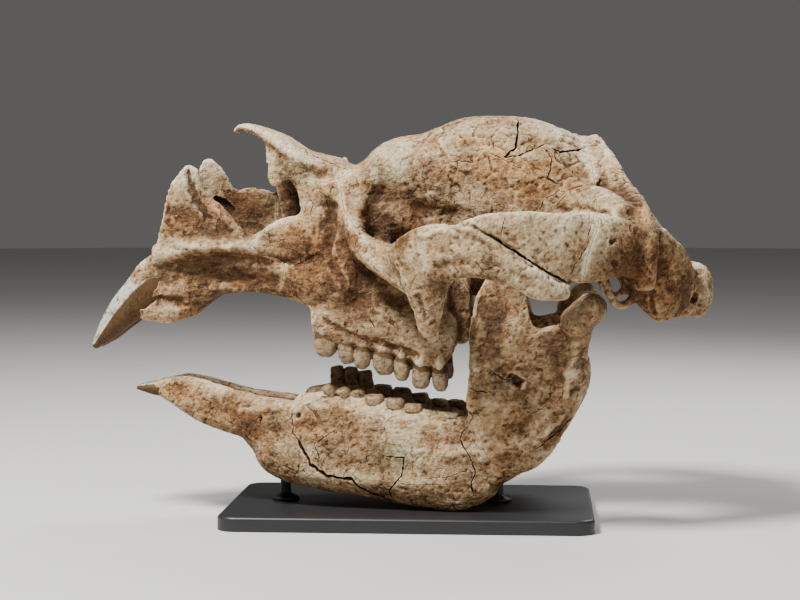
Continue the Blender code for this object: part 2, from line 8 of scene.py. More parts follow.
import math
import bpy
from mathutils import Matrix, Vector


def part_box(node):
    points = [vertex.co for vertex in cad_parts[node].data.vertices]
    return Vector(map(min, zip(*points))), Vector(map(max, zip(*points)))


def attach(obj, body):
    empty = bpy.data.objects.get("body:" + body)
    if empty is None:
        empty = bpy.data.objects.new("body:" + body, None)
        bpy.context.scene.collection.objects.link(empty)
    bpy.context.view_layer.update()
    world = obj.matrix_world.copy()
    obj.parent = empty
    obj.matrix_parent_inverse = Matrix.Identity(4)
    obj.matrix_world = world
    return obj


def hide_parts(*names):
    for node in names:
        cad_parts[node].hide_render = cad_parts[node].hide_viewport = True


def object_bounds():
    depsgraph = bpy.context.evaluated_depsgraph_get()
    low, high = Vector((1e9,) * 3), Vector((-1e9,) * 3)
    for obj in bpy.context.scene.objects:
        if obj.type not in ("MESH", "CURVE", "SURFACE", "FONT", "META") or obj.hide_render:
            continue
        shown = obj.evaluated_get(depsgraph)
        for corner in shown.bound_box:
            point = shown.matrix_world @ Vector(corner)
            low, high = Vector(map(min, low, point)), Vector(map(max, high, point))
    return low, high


bl_info = {
    "name": "Diprotodon Skull",
    "version": (1, 0, 0),
    "blender": (4, 5, 0),
    "location": "View3D > Sidebar > Skull",
    "description": "Builds a fossil diprotodon skull on its display stand",
    "category": "Add Mesh",
}

import bmesh
import bpy
import numpy as np
from bpy.props import FloatProperty, FloatVectorProperty, PointerProperty
from mathutils import Matrix, Vector, noise
from mathutils.bvhtree import BVHTree

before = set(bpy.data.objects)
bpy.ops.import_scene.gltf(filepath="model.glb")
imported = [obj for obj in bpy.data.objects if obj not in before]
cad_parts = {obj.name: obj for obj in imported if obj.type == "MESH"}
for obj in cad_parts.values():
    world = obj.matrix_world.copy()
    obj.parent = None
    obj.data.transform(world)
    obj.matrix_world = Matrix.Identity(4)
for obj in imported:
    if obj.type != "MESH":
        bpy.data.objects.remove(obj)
CAD_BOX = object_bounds()
BODY = "root"

MM = 0.001
LEFT, RIGHT = -1, 1
BOTH = (LEFT, RIGHT)
SIDE_NAMES = {LEFT: "left", RIGHT: "right"}

# The rod under the cranium says where the skull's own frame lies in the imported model.
ROD_X, ROD_TOP = 128, 312
rod_low, rod_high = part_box("stand_cranium_rod")
SHIFT = Vector(((rod_low.x + rod_high.x) / 2 - ROD_X * MM, (rod_low.y + rod_high.y) / 2,
                rod_high.z - ROD_TOP * MM))


# ---------------------------------------------------------------- meshes and limbs

def new_object(name, data):
    """An object with this data, linked to the scene."""
    obj = bpy.data.objects.new(name, data)
    bpy.context.scene.collection.objects.link(obj)
    return obj


def mesh_of(bm, name):
    """A new mesh of the bmesh, which is freed."""
    mesh = bpy.data.meshes.new(name)
    bm.to_mesh(mesh)
    bm.free()
    return mesh


def bmesh_of(meshes):
    """One bmesh of several meshes, which are kept."""
    bm = bmesh.new()
    for mesh in meshes:
        bm.from_mesh(mesh)
    return bm


def evaluated_mesh(obj):
    """The object's mesh with its modifiers applied; the object itself is removed."""
    graph = bpy.context.evaluated_depsgraph_get()
    mesh = bpy.data.meshes.new_from_object(obj.evaluated_get(graph))
    bpy.data.objects.remove(obj)
    return mesh


def between(stations, position):
    """A station on the smooth curve through the stations, position counting from 0 at the first."""
    last = len(stations) - 1
    start = min(int(position), last - 1)
    t = position - start
    before = stations[max(start - 1, 0)]
    after = stations[min(start + 2, last)]
    values = []
    for a, b, c, d in zip(before, stations[start], stations[start + 1], after):
        slope_b = (c - a) / 2
        slope_c = (d - b) / 2
        rise = c - b
        values.append(b + t * slope_b + t * t * (3 * rise - 2 * slope_b - slope_c)
                      + t * t * t * (slope_b + slope_c - 2 * rise))
    return values


def ring_matrix(centre, tangent, wide_axis, wide, deep):
    """Places a unit circle across the tangent, wide along wide_axis and deep across it."""
    across = wide_axis - tangent * wide_axis.dot(tangent)
    across.normalize()
    third = tangent.cross(across)
    turn = Matrix((across * wide, third * deep, tangent)).transposed().to_4x4()
    return Matrix.Translation(centre) @ turn


RING_POINTS = 28
RINGS_PER_SPAN = 7
CAP_STEPS = (0.35, 0.65, 0.85, 0.97)       # how far along a rounded end its rings stand
THINNEST = 0.5                             # least half width of a limb


def limb(bm, stations, side=LEFT, wide_axis=(0, 1, 0), squareness=2.0, nose=0.6):
    """A tube with rounded ends through stations of (x, y, z, half width, half depth)."""
    wide_axis = Vector(wide_axis)
    stations = [(x, y * side, z, wide, deep) for x, y, z, wide, deep in stations]
    spans = len(stations) - 1
    count = spans * RINGS_PER_SPAN
    positions = [spans * i / count for i in range(count + 1)]
    centres = [Vector(between(stations, p)[:3]) for p in positions]
    rings = []
    for i, position in enumerate(positions):
        tangent = (centres[min(i + 1, count)] - centres[max(i - 1, 0)]).normalized()
        wide, deep = (max(half, THINNEST) for half in between(stations, position)[3:])
        rings.append((centres[i], tangent, wide, deep))
    start_cap, end_cap = [], []
    for k in CAP_STEPS:
        for (centre, tangent, wide, deep), cap, way in ((rings[0], start_cap, -1), (rings[-1], end_cap, 1)):
            shrink = math.sqrt(1 - k * k)
            cap.append((centre + tangent * way * nose * min(wide, deep) * k, tangent,
                        wide * shrink, deep * shrink))
    rings = start_cap[::-1] + rings + end_cap

    tube = bmesh.new()
    previous = []
    for i, (centre, tangent, wide, deep) in enumerate(rings):
        at_end = i in (0, len(rings) - 1)
        made = bmesh.ops.create_circle(tube, segments=RING_POINTS, radius=1, cap_ends=at_end)["verts"]
        for vert in made:
            for axis in (0, 1):
                value = vert.co[axis]
                vert.co[axis] = math.copysign(abs(value) ** (2 / squareness), value)
        bmesh.ops.transform(tube, verts=made, matrix=ring_matrix(centre, tangent, wide_axis, wide, deep))
        edges = list(dict.fromkeys(edge for vert in made for edge in vert.link_edges))
        if previous:
            bmesh.ops.bridge_loops(tube, edges=previous + edges)
        previous = edges
    add_shape(bm, tube)


def add_shape(bm, shape):
    """Joins one closed shape to the shapes in bm."""
    bmesh.ops.recalc_face_normals(shape, faces=shape.faces)
    mesh = mesh_of(shape, "shape")
    bm.from_mesh(mesh)
    bpy.data.meshes.remove(mesh)


def blob(bm, centre, halves, side=LEFT):
    """An ellipsoid with half sizes along X, Y and Z."""
    x, y, z = centre
    place = Matrix.Translation((x, y * side, z)) @ Matrix.Diagonal((*halves, 1))
    bmesh.ops.create_icosphere(bm, subdivisions=4, radius=1, matrix=place)


def placed_mesh(bm, name):
    """The bmesh as a mesh in metres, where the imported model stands."""
    bmesh.ops.scale(bm, vec=(MM, MM, MM), verts=bm.verts)
    bmesh.ops.translate(bm, vec=SHIFT, verts=bm.verts)
    return mesh_of(bm, name)


COARSE = 1.3                # the fillet's cells, in cells of the finished skin


def fused(name, build, cell, smooth=2, fillet=0.0):
    """One skin round the limbs that build adds; a fillet in metres rounds the hollows where they meet."""
    bm = bmesh.new()
    build(bm)
    obj = new_object(name, placed_mesh(bm, name))
    steps = ((COARSE * cell, fillet), (COARSE * cell, -fillet), (cell, 0)) if fillet else ((cell, 0),)
    for voxel, growth in steps:
        remesh = obj.modifiers.new("fuse", "REMESH")
        remesh.mode = "VOXEL"
        remesh.voxel_size = voxel
        if growth:
            grow = obj.modifiers.new("grow", "DISPLACE")
            grow.strength = growth
            grow.mid_level = 0
    soften = obj.modifiers.new("soften", "SMOOTH")
    soften.iterations = smooth
    return evaluated_mesh(obj)


def cut(mesh, cutter_mesh):
    """The mesh less a cutter that isn't kept."""
    obj = new_object("cut", mesh)
    cutter = new_object("cutter", inside_mark(cutter_mesh, 1))
    boolean = obj.modifiers.new("cut", "BOOLEAN")
    boolean.operation = "DIFFERENCE"
    boolean.solver = "MANIFOLD"
    boolean.object = cutter
    result = evaluated_mesh(obj)
    bpy.data.objects.remove(cutter)
    return result


def curtain(route, low, high, upright=False):
    """A thin wall along a route, to cut with: the route is (x, z) and the wall spans Y from low to high,
    or with upright the route is (x, y) and the wall spans Z."""
    bm = bmesh.new()
    verts = [bm.verts.new((a, b, low) if upright else (a, low, b)) for a, b in route]
    edges = [bm.edges.new(pair) for pair in zip(verts, verts[1:])]
    span = high - low
    made = bmesh.ops.extrude_edge_only(bm, edges=edges)["geom"]
    moved = [item for item in made if isinstance(item, bmesh.types.BMVert)]
    bmesh.ops.translate(bm, verts=moved, vec=(0, 0, span) if upright else (0, span, 0))
    obj = new_object("curtain", placed_mesh(bm, "curtain"))
    wall = obj.modifiers.new("wall", "SOLIDIFY")
    wall.thickness = bpy.context.scene.skull_sizes.suture
    wall.offset = 0
    wall.use_even_offset = True
    bm = bmesh_of([evaluated_mesh(obj)])
    bmesh.ops.recalc_face_normals(bm, faces=bm.faces)
    return mesh_of(bm, "curtain")


WAVE_SCALE = 0.17           # turns millimetres into places in the noise that sways a route


def wavy(route, step=5.0, sway=0.9):
    """The route with points about step apart, each swayed a little, as bone breaks and grows."""
    points = []
    for (a, b), (c, d) in zip(route, route[1:]):
        pieces = max(1, round(math.hypot(c - a, d - b) / step))
        points += [(a + (c - a) * i / pieces, b + (d - b) * i / pieces) for i in range(pieces)]
    swayed = [points[0]]
    for x, z in points[1:]:
        push = noise.noise_vector((x * WAVE_SCALE, z * WAVE_SCALE, 3.1))
        swayed.append((x + sway * push.x, z + sway * push.y))
    return swayed + [route[-1]]


def shells_of(mesh, smallest=400):
    """The mesh's separate shells as (middle in millimetres, mesh), but for chips of few points."""
    whole = new_object("shell", mesh)
    for obj in bpy.context.selected_objects:
        obj.select_set(False)
    whole.select_set(True)
    bpy.context.view_layer.objects.active = whole
    bpy.ops.object.mode_set(mode="EDIT")
    bpy.ops.mesh.select_all(action="SELECT")
    bpy.ops.mesh.separate(type="LOOSE")
    bpy.ops.object.mode_set(mode="OBJECT")
    found = []
    for obj in bpy.context.selected_objects:
        shell = obj.data
        bpy.data.objects.remove(obj)
        if len(shell.vertices) >= smallest:
            found.append((skull_points(shell).mean(axis=0), shell))
    return found


def inside_mark(mesh, value):
    """Marks faces with whether a saw or a crack made them, so they can be coloured."""
    mark = mesh.attributes.get("broken") or mesh.attributes.new("broken", "FLOAT", "FACE")
    mark.data.foreach_set("value", np.full(len(mesh.polygons), value, np.float32))
    return mesh


CRACK_STEP, CRACK_SWAY = 3.5, 2.0
CRACK_START = 400           # how far out to each side the rays towards the bone start
LEAST_FACING = 0.12         # how squarely the bone has to face its side to be cracked
WEDGE_RISE = 1.2            # how far a wedge stands out of the bone
WEDGE_FLARE = 1.25          # and how much wider it is there


def crack_cutter(tree, route, side, width, depth):
    """A jagged wedge that opens a crack along a route (x, z) on one side of a bone."""
    stations = []
    for x, z in wavy(route, CRACK_STEP, CRACK_SWAY):
        start = Vector((x, CRACK_START * side, z)) * MM + SHIFT
        spot, normal, _, _ = tree.ray_cast(start, Vector((0, -side, 0)))
        if spot is not None and normal.y * side > LEAST_FACING:
            stations.append((spot, normal))
    last = len(stations) - 1
    if last < 2:
        return None
    bm = bmesh.new()
    previous = []
    for i, (spot, normal) in enumerate(stations):
        along = stations[min(i + 1, last)][0] - stations[max(i - 1, 0)][0]
        across = normal.cross(along).normalized()
        swell = 0.55 + 0.9 * abs(noise.noise(spot * 90)) + 0.3 * noise.noise(spot * 400)
        half = 0.5 * width * MM * swell * min(1, 0.25 + 0.4 * min(i, last - i))
        top, out = spot + normal * WEDGE_RISE * MM, across * WEDGE_FLARE * half
        wedge = (top - out, top + out, spot - normal * depth * MM * (0.6 + 0.4 * swell))
        verts = [bm.verts.new(corner) for corner in wedge]
        edges = [bm.edges.new((verts[k], verts[k - 1])) for k in range(3)]
        if previous:
            bmesh.ops.bridge_loops(bm, edges=previous + edges)
        previous = edges
    bmesh.ops.holes_fill(bm, edges=bm.edges, sides=3)
    bmesh.ops.recalc_face_normals(bm, faces=bm.faces)
    return mesh_of(bm, "crack")


def joined(meshes):
    """One mesh of several, which are removed."""
    bm = bmesh_of(meshes)
    for mesh in meshes:
        bpy.data.meshes.remove(mesh)
    return mesh_of(bm, "joined")


def cracked(mesh, cracks):
    """Opens the cracks that cross this bone, each round of cuts taking cracks that don't meet."""
    tree = surface_tree([mesh])
    rounds = []
    for side, route, width, depth in cracks:
        cutter = crack_cutter(tree, route, side, width, depth)
        if cutter:
            points = np.array([vert.co for vert in cutter.vertices])
            low, high = points.min(axis=0), points.max(axis=0)
            for taken in rounds:
                if all((low > far).any() or (high < near).any() for near, far, _ in taken):
                    taken.append((low, high, cutter))
                    break
            else:
                rounds.append([(low, high, cutter)])
    for taken in rounds:
        mesh = cut(mesh, joined([cutter for _, _, cutter in taken]))
    return mesh


def surface_tree(meshes):
    """A tree of the meshes' surfaces, to cast rays at."""
    bm = bmesh_of(meshes)
    tree = BVHTree.FromBMesh(bm)
    bm.free()
    return tree


# ---------------------------------------------------------------- reading and shaping a skin

def read_points(mesh):
    """The mesh's points as an array, in metres."""
    points = np.empty(len(mesh.vertices) * 3, np.float32)
    mesh.vertices.foreach_get("co", points)
    return points.reshape(-1, 3)


def write_points(mesh, points):
    """Puts the mesh's points at these places, in metres."""
    mesh.vertices.foreach_set("co", points.astype(np.float32).ravel())
    mesh.update()


def skull_points(mesh):
    """The mesh's points as an array in the skull's own millimetres."""
    return (read_points(mesh) - np.array(SHIFT)) / MM


def move_points(mesh, points):
    """Puts the mesh's points at these places in the skull's own millimetres."""
    write_points(mesh, points * MM + np.array(SHIFT))


def point_normals(mesh):
    """The direction that each point of the mesh faces."""
    normals = np.empty(len(mesh.vertices) * 3, np.float32)
    mesh.vertex_normals.foreach_get("vector", normals)
    return normals.reshape(-1, 3)


def smoothstep(low, high, value):
    """0 up to low, 1 from high on, and a soft step between them; low may be the greater."""
    t = np.clip((value - low) / (high - low), 0, 1)
    return t * t * (3 - 2 * t)


def route_distance(points, route):
    """Distance of each point from a route, both in the same two or three coordinates."""
    nearest = np.full(len(points), np.inf)
    for start, end in zip(route, route[1:] if len(route) > 1 else route):
        start, end = np.array(start, float), np.array(end, float)
        along = end - start
        t = np.clip((points - start) @ along / max(along @ along, 1e-9), 0, 1)
        nearest = np.minimum(nearest, np.linalg.norm(points - start - t[:, None] * along, axis=1))
    return nearest


def rough(points, size, octaves=4, seed=0.0):
    """Fractal noise at each point, about -1 to 1, with its largest swells about size millimetres apart."""
    scale = 1 / size
    offset = Vector((seed, seed * 1.7, seed * 0.6))
    return np.array([noise.fractal(Vector(p) * scale + offset, 0.9, 2.1, octaves) for p in points])


def press(points, normals, sway, features, side):
    """Presses grooves and pits into one side of the skin, or raises ridges where the depth is negative."""
    out = normals[:, 1] * side
    flat = points[:, (0, 2)] + sway
    move = np.zeros(len(points))
    for route, radius, depth, (near, far) in features:
        y = points[:, 1] * side
        facing = (out > 0.05) & (y > near) & (y < far)
        low = np.min(route, axis=0) - radius
        high = np.max(route, axis=0) + radius
        chosen = np.flatnonzero(facing & (flat >= low).all(axis=1) & (flat <= high).all(axis=1))
        if len(chosen):
            close = 1 - route_distance(flat[chosen], route) / radius
            move[chosen] -= depth * smoothstep(0, 1, close)
    return points + normals * move[:, None]


def broken_plates(points, size, seed):
    """The skin split into scattered plates: each point's plate level, 0 to 1, and its nearness to an edge."""
    spots, edges = [], []
    for point in points:
        (first, second, *_), (middle, *_) = noise.voronoi(Vector(point) / size + Vector((seed, 0, 0)))
        spots.append(middle)
        edges.append(second - first)
    level = np.sin(np.array(spots) @ (127.1, 311.7, 74.7)) * 0.5 + 0.5
    return level, smoothstep(0.14, 0.0, np.array(edges))


def neighbour_mean(mesh, values, rounds):
    """Each point's value averaged with its neighbours', so many rounds over."""
    count = len(mesh.vertices)
    pairs = np.empty(len(mesh.edges) * 2, np.int32)
    mesh.edges.foreach_get("vertices", pairs)
    first, second = pairs.reshape(-1, 2).T
    degree = np.maximum(np.bincount(first, minlength=count) + np.bincount(second, minlength=count), 1)
    values = values.astype(float)
    for _ in range(rounds):
        total = np.empty_like(values)
        for column in range(values.shape[1]):
            total[:, column] = (np.bincount(first, values[second, column], count)
                                + np.bincount(second, values[first, column], count))
        values = 0.5 * values + 0.5 * total / degree[:, None]
    return values


def paint(mesh, name, values):
    """Gives the mesh an attribute with one value for each point."""
    layer = mesh.attributes.new(name, "FLOAT", "POINT")
    layer.data.foreach_set("value", np.asarray(values, np.float32))


RELIEFS = (("fine_relief", 10, 1.1), ("broad_relief", 60, 4.0))    # name, rounds, millimetres for full relief


def paint_relief(mesh):
    """Attributes that say how hollow (below 0.5) or raised (above) each point lies, finely and broadly; the
    materials paint hollows darker by them as painted shade.
    """
    points, normals = skull_points(mesh), point_normals(mesh)
    for name, rounds, full in RELIEFS:
        height = ((points - neighbour_mean(mesh, points, rounds)) * normals).sum(axis=1)
        paint(mesh, name, np.clip(0.5 + 0.5 * height / full, 0, 1))


SKY_RAYS = 24               # spread evenly over all directions
SKY_REACH = 0.11            # metres: how near another surface has to be to shade a hollow
SKY_START = 0.0015          # metres above the surface where a ray starts
SKY_SPOTS = 5000            # points of a mesh that cast rays; the others take the mean of those near them


def paint_occlusion_shade(meshes):
    """An attribute that says how far each point is closed in by bone, from 0 in the open to 1; the materials
    darken by it as painted shade.
    """
    tree = surface_tree(meshes)
    golden = math.pi * (3 - math.sqrt(5))
    directions = []
    for i in range(SKY_RAYS):
        z = 1 - (2 * i + 1) / SKY_RAYS
        ring = math.sqrt(1 - z * z)
        directions.append(Vector((ring * math.cos(golden * i), ring * math.sin(golden * i), z)))
    for mesh in meshes:
        every = max(1, len(mesh.vertices) // SKY_SPOTS)
        known = np.zeros((len(mesh.vertices), 2))
        for index in range(0, len(mesh.vertices), every):
            vert = mesh.vertices[index]
            start = vert.co + vert.normal * SKY_START
            closed = open_ways = 0
            for way in directions:
                if way.dot(vert.normal) > 0.1:
                    open_ways += 1
                    closed += tree.ray_cast(start, way, SKY_REACH)[0] is not None
            known[index] = (closed / max(open_ways, 1), 1)
        spread = known
        for _ in range(5):
            spread = neighbour_mean(mesh, spread, 4)
            spread[known[:, 1] > 0] = known[known[:, 1] > 0]
        spread = neighbour_mean(mesh, spread, 8)
        paint(mesh, "shelter", spread[:, 0] / np.maximum(spread[:, 1], 1e-4))


# ---------------------------------------------------------------- where the teeth stand

# Cheek teeth: x, y, z of each crown's middle, and the half length of the upper ones.
UPPER_TEETH = [(-90, 64, 230, 15), (-63, 66, 221, 11.5), (-42, 69, 215, 11), (-15, 73, 208, 14),
               (8, 76, 201, 10), (33, 80, 191, 12), (56, 82, 188, 10)]
LOWER_TEETH = [(-28, 64, 154), (-2, 66, 150), (22, 69, 146), (46, 72, 141), (70, 76, 140)]
LOWER_RISES = (12, 12, 9, 6, 5)             # tops of the lower crowns above their middles
# The post-like front teeth of the lower jaw, x and z, are tall on the right and broken on the left.
FRONT_TEETH = [(-88, 170), (-69, 168), (-50, 165)]
FRONT_TEETH_Y = 60
FRONT_RISES = {LEFT: (0, -2, -2), RIGHT: (22, 23, 21)}
# Great incisors, from the tip to the root: x, y, z, half width, half depth.
INCISORS = {
    "upper": [(-398, 17, 224, 8, 5), (-384, 19, 240, 12, 12.5), (-366, 22, 262, 14, 19),
              (-344, 25, 284, 15, 24), (-318, 27, 306, 14, 27), (-290, 28, 318, 11, 18)],
    "lower": [(-342, 13, 169, 7, 3), (-322, 15, 168, 9, 8), (-298, 17, 165, 8, 9), (-272, 20, 158, 7, 8)],
}


# ---------------------------------------------------------------- forms of the cranium

def rostrum(bm):
    """Snout: premaxillae with the incisor sockets, the walls of the nasal opening and the nasals."""
    for side in BOTH:
        # core of the snout, back to the cheek teeth
        limb(bm, [(-312, 27, 306, 20, 36), (-285, 28, 313, 23, 46), (-250, 27, 326, 22, 38),
                  (-200, 28, 327, 22, 32), (-150, 34, 320, 26, 30), (-105, 46, 314, 34, 33),
                  (-60, 54, 312, 40, 42)], side)
        # swelling over the root of the great incisor
        limb(bm, [(-308, 35, 340, 15, 18), (-285, 40, 349, 19, 18), (-250, 43, 356, 20, 15),
                  (-205, 45, 357, 20, 14), (-172, 47, 352, 18, 13), (-135, 54, 345, 14, 14)], side)
        # front of the socket, below and beside the incisor
        limb(bm, [(-336, 26, 274, 12, 8), (-326, 27, 287, 16, 13), (-308, 28, 306, 19, 26)], side)
        limb(bm, [(-348, 25, 284, 11, 20), (-334, 26, 295, 16, 26), (-316, 28, 309, 18, 31),
                  (-296, 30, 320, 18, 32)], side)
        # sockets of the two small incisors and the edge of the toothless gap
        limb(bm, [(-334, 26, 264, 7, 6), (-320, 29, 267, 11, 11), (-302, 32, 269, 14, 16),
                  (-280, 33, 276, 15, 16), (-258, 34, 290, 13, 13), (-225, 36, 304, 12, 11),
                  (-170, 41, 306, 13, 12), (-130, 48, 299, 15, 14), (-100, 56, 292, 18, 18)], side)
        # wall behind the nasal opening, from the nasals down to the cheek
        limb(bm, [(-150, 34, 478, 9, 16), (-132, 42, 462, 10, 18), (-108, 52, 440, 12, 26),
                  (-88, 62, 418, 13, 40), (-60, 74, 402, 14, 54)], side)
        # lobe that hangs from the nasal in front of the hollow
        limb(bm, [(-160, 28, 482, 9, 12), (-158, 37, 464, 8, 12), (-157, 42, 446, 7, 12),
                  (-155, 44, 434, 6, 9)], side)
        # nasal bone
        limb(bm, [(-214, 7, 503, 6, 3), (-204, 13, 508, 13, 4), (-180, 18, 502, 19, 8),
                  (-155, 22, 487, 24, 13), (-125, 26, 466, 30, 15), (-90, 30, 454, 36, 17),
                  (-55, 34, 439, 42, 18), (-20, 38, 440, 46, 26)], side)
    # upright plate of the left premaxilla, and its rear edge, which falls to the cheek
    limb(bm, [(-252, 46, 345, 9, 68), (-256, 48, 364, 8, 59), (-263, 49, 388, 7, 47),
              (-270, 49, 408, 6.5, 34), (-273, 49, 425, 6, 23), (-269, 48, 441, 6, 16),
              (-266, 47, 456, 5, 8)], LEFT)
    limb(bm, [(-259, 49, 452, 6, 5), (-250, 51, 424, 6, 5), (-237, 52, 406, 6, 6),
              (-221, 53, 392, 6, 6), (-206, 53, 376, 7, 7), (-194, 52, 360, 7, 8)], LEFT)
    # the right plate, and the wall that joins it to the face
    limb(bm, [(-245, 48, 362, 8, 66), (-250, 49, 398, 7, 44), (-252, 49, 430, 6.5, 26),
              (-257, 47, 454, 6, 17), (-259, 46, 467, 5, 8)], RIGHT)
    limb(bm, [(-240, 50, 394, 7, 34), (-190, 52, 394, 7, 36), (-155, 54, 384, 8, 28),
              (-120, 60, 380, 9, 26)], RIGHT)
    # left wall of the nasal opening, with its rim
    limb(bm, [(-172, 52, 352, 7, 10), (-150, 56, 360, 8, 22), (-127, 60, 368, 9, 27),
              (-98, 68, 366, 10, 28), (-75, 76, 360, 12, 32)], LEFT)
    limb(bm, [(-192, 52, 358, 5, 5), (-172, 55, 371, 5, 5), (-155, 58, 382, 6, 5),
              (-138, 61, 388, 5, 5), (-122, 64, 388, 4, 4)], LEFT)
    # floor of the nasal opening and the palate below it
    limb(bm, [(-290, 0, 345, 34, 10), (-240, 0, 342, 40, 9), (-170, 0, 342, 44, 9),
              (-100, 0, 350, 56, 12)])
    limb(bm, [(-296, 0, 300, 20, 22), (-250, 0, 322, 24, 18), (-180, 0, 322, 26, 16),
              (-110, 0, 318, 36, 20)])
    # partition between the nasal passages
    limb(bm, [(-154, 0, 402, 5, 46), (-110, 0, 412, 6, 56), (-70, 0, 412, 8, 60)])


def face(bm):
    """Solid middle of the face between the cheek teeth and the forehead, and the tooth sockets."""
    # palate, and the wall between the nose and the eyes
    limb(bm, [(-104, 0, 322, 56, 40), (-70, 0, 332, 70, 58), (-20, 0, 332, 70, 56),
              (30, 0, 322, 62, 46), (72, 0, 318, 54, 36)], squareness=2.4)
    limb(bm, [(-92, 0, 402, 50, 54), (-58, 0, 396, 66, 56), (-15, 0, 390, 62, 60)], squareness=2.2)
    for side in BOTH:
        # bone that holds the upper cheek teeth
        limb(bm, [(-103, 61, 262, 12, 20), (-84, 64, 262, 18, 30), (-50, 67, 258, 22, 34),
                  (0, 71, 254, 23, 36), (45, 76, 244, 22, 38), (68, 78, 240, 16, 30)], side)
        # bulges over the roots of the cheek teeth
        for x, y, z, half in UPPER_TEETH:
            blob(bm, (x, y - 1, z + 22), (half * 0.85, 19, 17), side)
        # side wall of the face above the teeth, and in front of the eye
        limb(bm, [(-104, 56, 292, 14, 24), (-60, 60, 292, 19, 36), (0, 63, 288, 20, 38),
                  (58, 64, 280, 14, 34)], side)
        limb(bm, [(-98, 58, 386, 12, 26), (-72, 66, 372, 15, 56), (-48, 70, 362, 16, 52)], side)


def cheek(bm):
    """Rim of the eye socket and the cheek arch."""
    for side in BOTH:
        # front rim of the eye socket, sweeping out into the arch
        limb(bm, [(-38, 62, 440, 16, 22), (-48, 76, 414, 14, 17), (-50, 86, 386, 14, 15),
                  (-44, 102, 360, 15, 14), (-20, 131, 341, 16, 15), (8, 160, 328, 17, 19),
                  (34, 186, 320, 15, 24)], side)
        # upper edge of that rim, and the floor of the eye socket
        limb(bm, [(-54, 90, 374, 11, 12), (-36, 112, 362, 12, 11), (-14, 138, 351, 12, 12),
                  (6, 164, 347, 12, 14), (24, 188, 350, 11, 18)], side)
        limb(bm, [(-40, 62, 354, 24, 12), (-18, 92, 348, 28, 12), (8, 124, 342, 30, 11),
                  (26, 156, 340, 32, 11), (36, 184, 340, 30, 12)], side, wide_axis=(1, 0, 0))
        # jugal, with its raised front corner
        limb(bm, [(14, 188, 348, 12, 22), (40, 202, 350, 13, 33), (70, 210, 350, 13, 36),
                  (100, 217, 345, 13, 24), (143, 219, 334, 13, 20), (180, 213, 316, 12, 20),
                  (205, 207, 305, 9, 12), (214, 205, 304, 6, 8)], side)
        # overlap of jugal and squamosal
        limb(bm, [(70, 210, 372, 9, 9), (112, 213, 362, 10, 14), (150, 212, 350, 10, 18),
                  (188, 205, 338, 10, 18), (212, 196, 330, 10, 14)], side)
        # process for the chewing muscle
        limb(bm, [(42, 195, 334, 12, 31), (45, 197, 304, 13, 24), (47, 194, 282, 12, 19),
                  (48, 190, 262, 10, 14), (54, 187, 248, 7, 8)], side)
        # squamosal part of the arch
        limb(bm, [(88, 213, 380, 7, 9), (118, 217, 382, 9, 17), (150, 217, 377, 10, 25),
                  (183, 210, 367, 12, 34), (215, 200, 358, 14, 43), (245, 182, 357, 18, 42),
                  (272, 158, 358, 22, 38), (294, 134, 358, 26, 38)], side)
        # shelf that carries the jaw joint
        limb(bm, [(230, 188, 340, 18, 12), (238, 152, 340, 28, 13), (246, 112, 340, 34, 18),
                  (244, 74, 340, 38, 24)], side, wide_axis=(1, 0, 0))


def vault(bm):
    """Forehead, braincase and the base of the skull."""
    # roof, wider than the wall below it at the eye sockets
    limb(bm, [(-58, 0, 428, 56, 28), (-30, 0, 432, 74, 40), (0, 0, 442, 82, 52),
              (30, 0, 438, 82, 66), (75, 0, 432, 80, 88), (120, 0, 428, 84, 96),
              (165, 0, 421, 88, 95), (200, 0, 412, 84, 90)], squareness=2.2, nose=0.2)
    # hind part, ridged like a roof
    limb(bm, [(150, 0, 418, 84, 94), (200, 0, 412, 96, 90), (242, 0, 402, 103, 88)],
         squareness=1.55, nose=0.05)
    # wall and base
    limb(bm, [(-40, 0, 380, 62, 54), (0, 0, 384, 58, 66), (40, 0, 384, 58, 70),
              (80, 0, 380, 66, 76), (130, 0, 376, 76, 84), (190, 0, 382, 90, 70),
              (250, 0, 380, 98, 60), (284, 0, 368, 94, 46)], squareness=2.3, nose=0.2)
    limb(bm, [(58, 0, 326, 44, 30), (120, 0, 322, 50, 34), (165, 0, 332, 56, 32),
              (205, 0, 344, 60, 29), (262, 0, 346, 60, 25), (302, 0, 334, 56, 25),
              (340, 0, 300, 45, 26)])
    for side in BOTH:
        # wall of the eye socket below the forehead
        limb(bm, [(-46, 62, 396, 18, 30), (-16, 58, 392, 25, 32), (20, 54, 390, 25, 32),
                  (50, 50, 390, 22, 30)], side)
        # plate behind the palate
        limb(bm, [(66, 56, 312, 9, 30), (74, 54, 282, 8, 22), (79, 53, 258, 7, 17),
                  (84, 52, 234, 6, 9)], side)


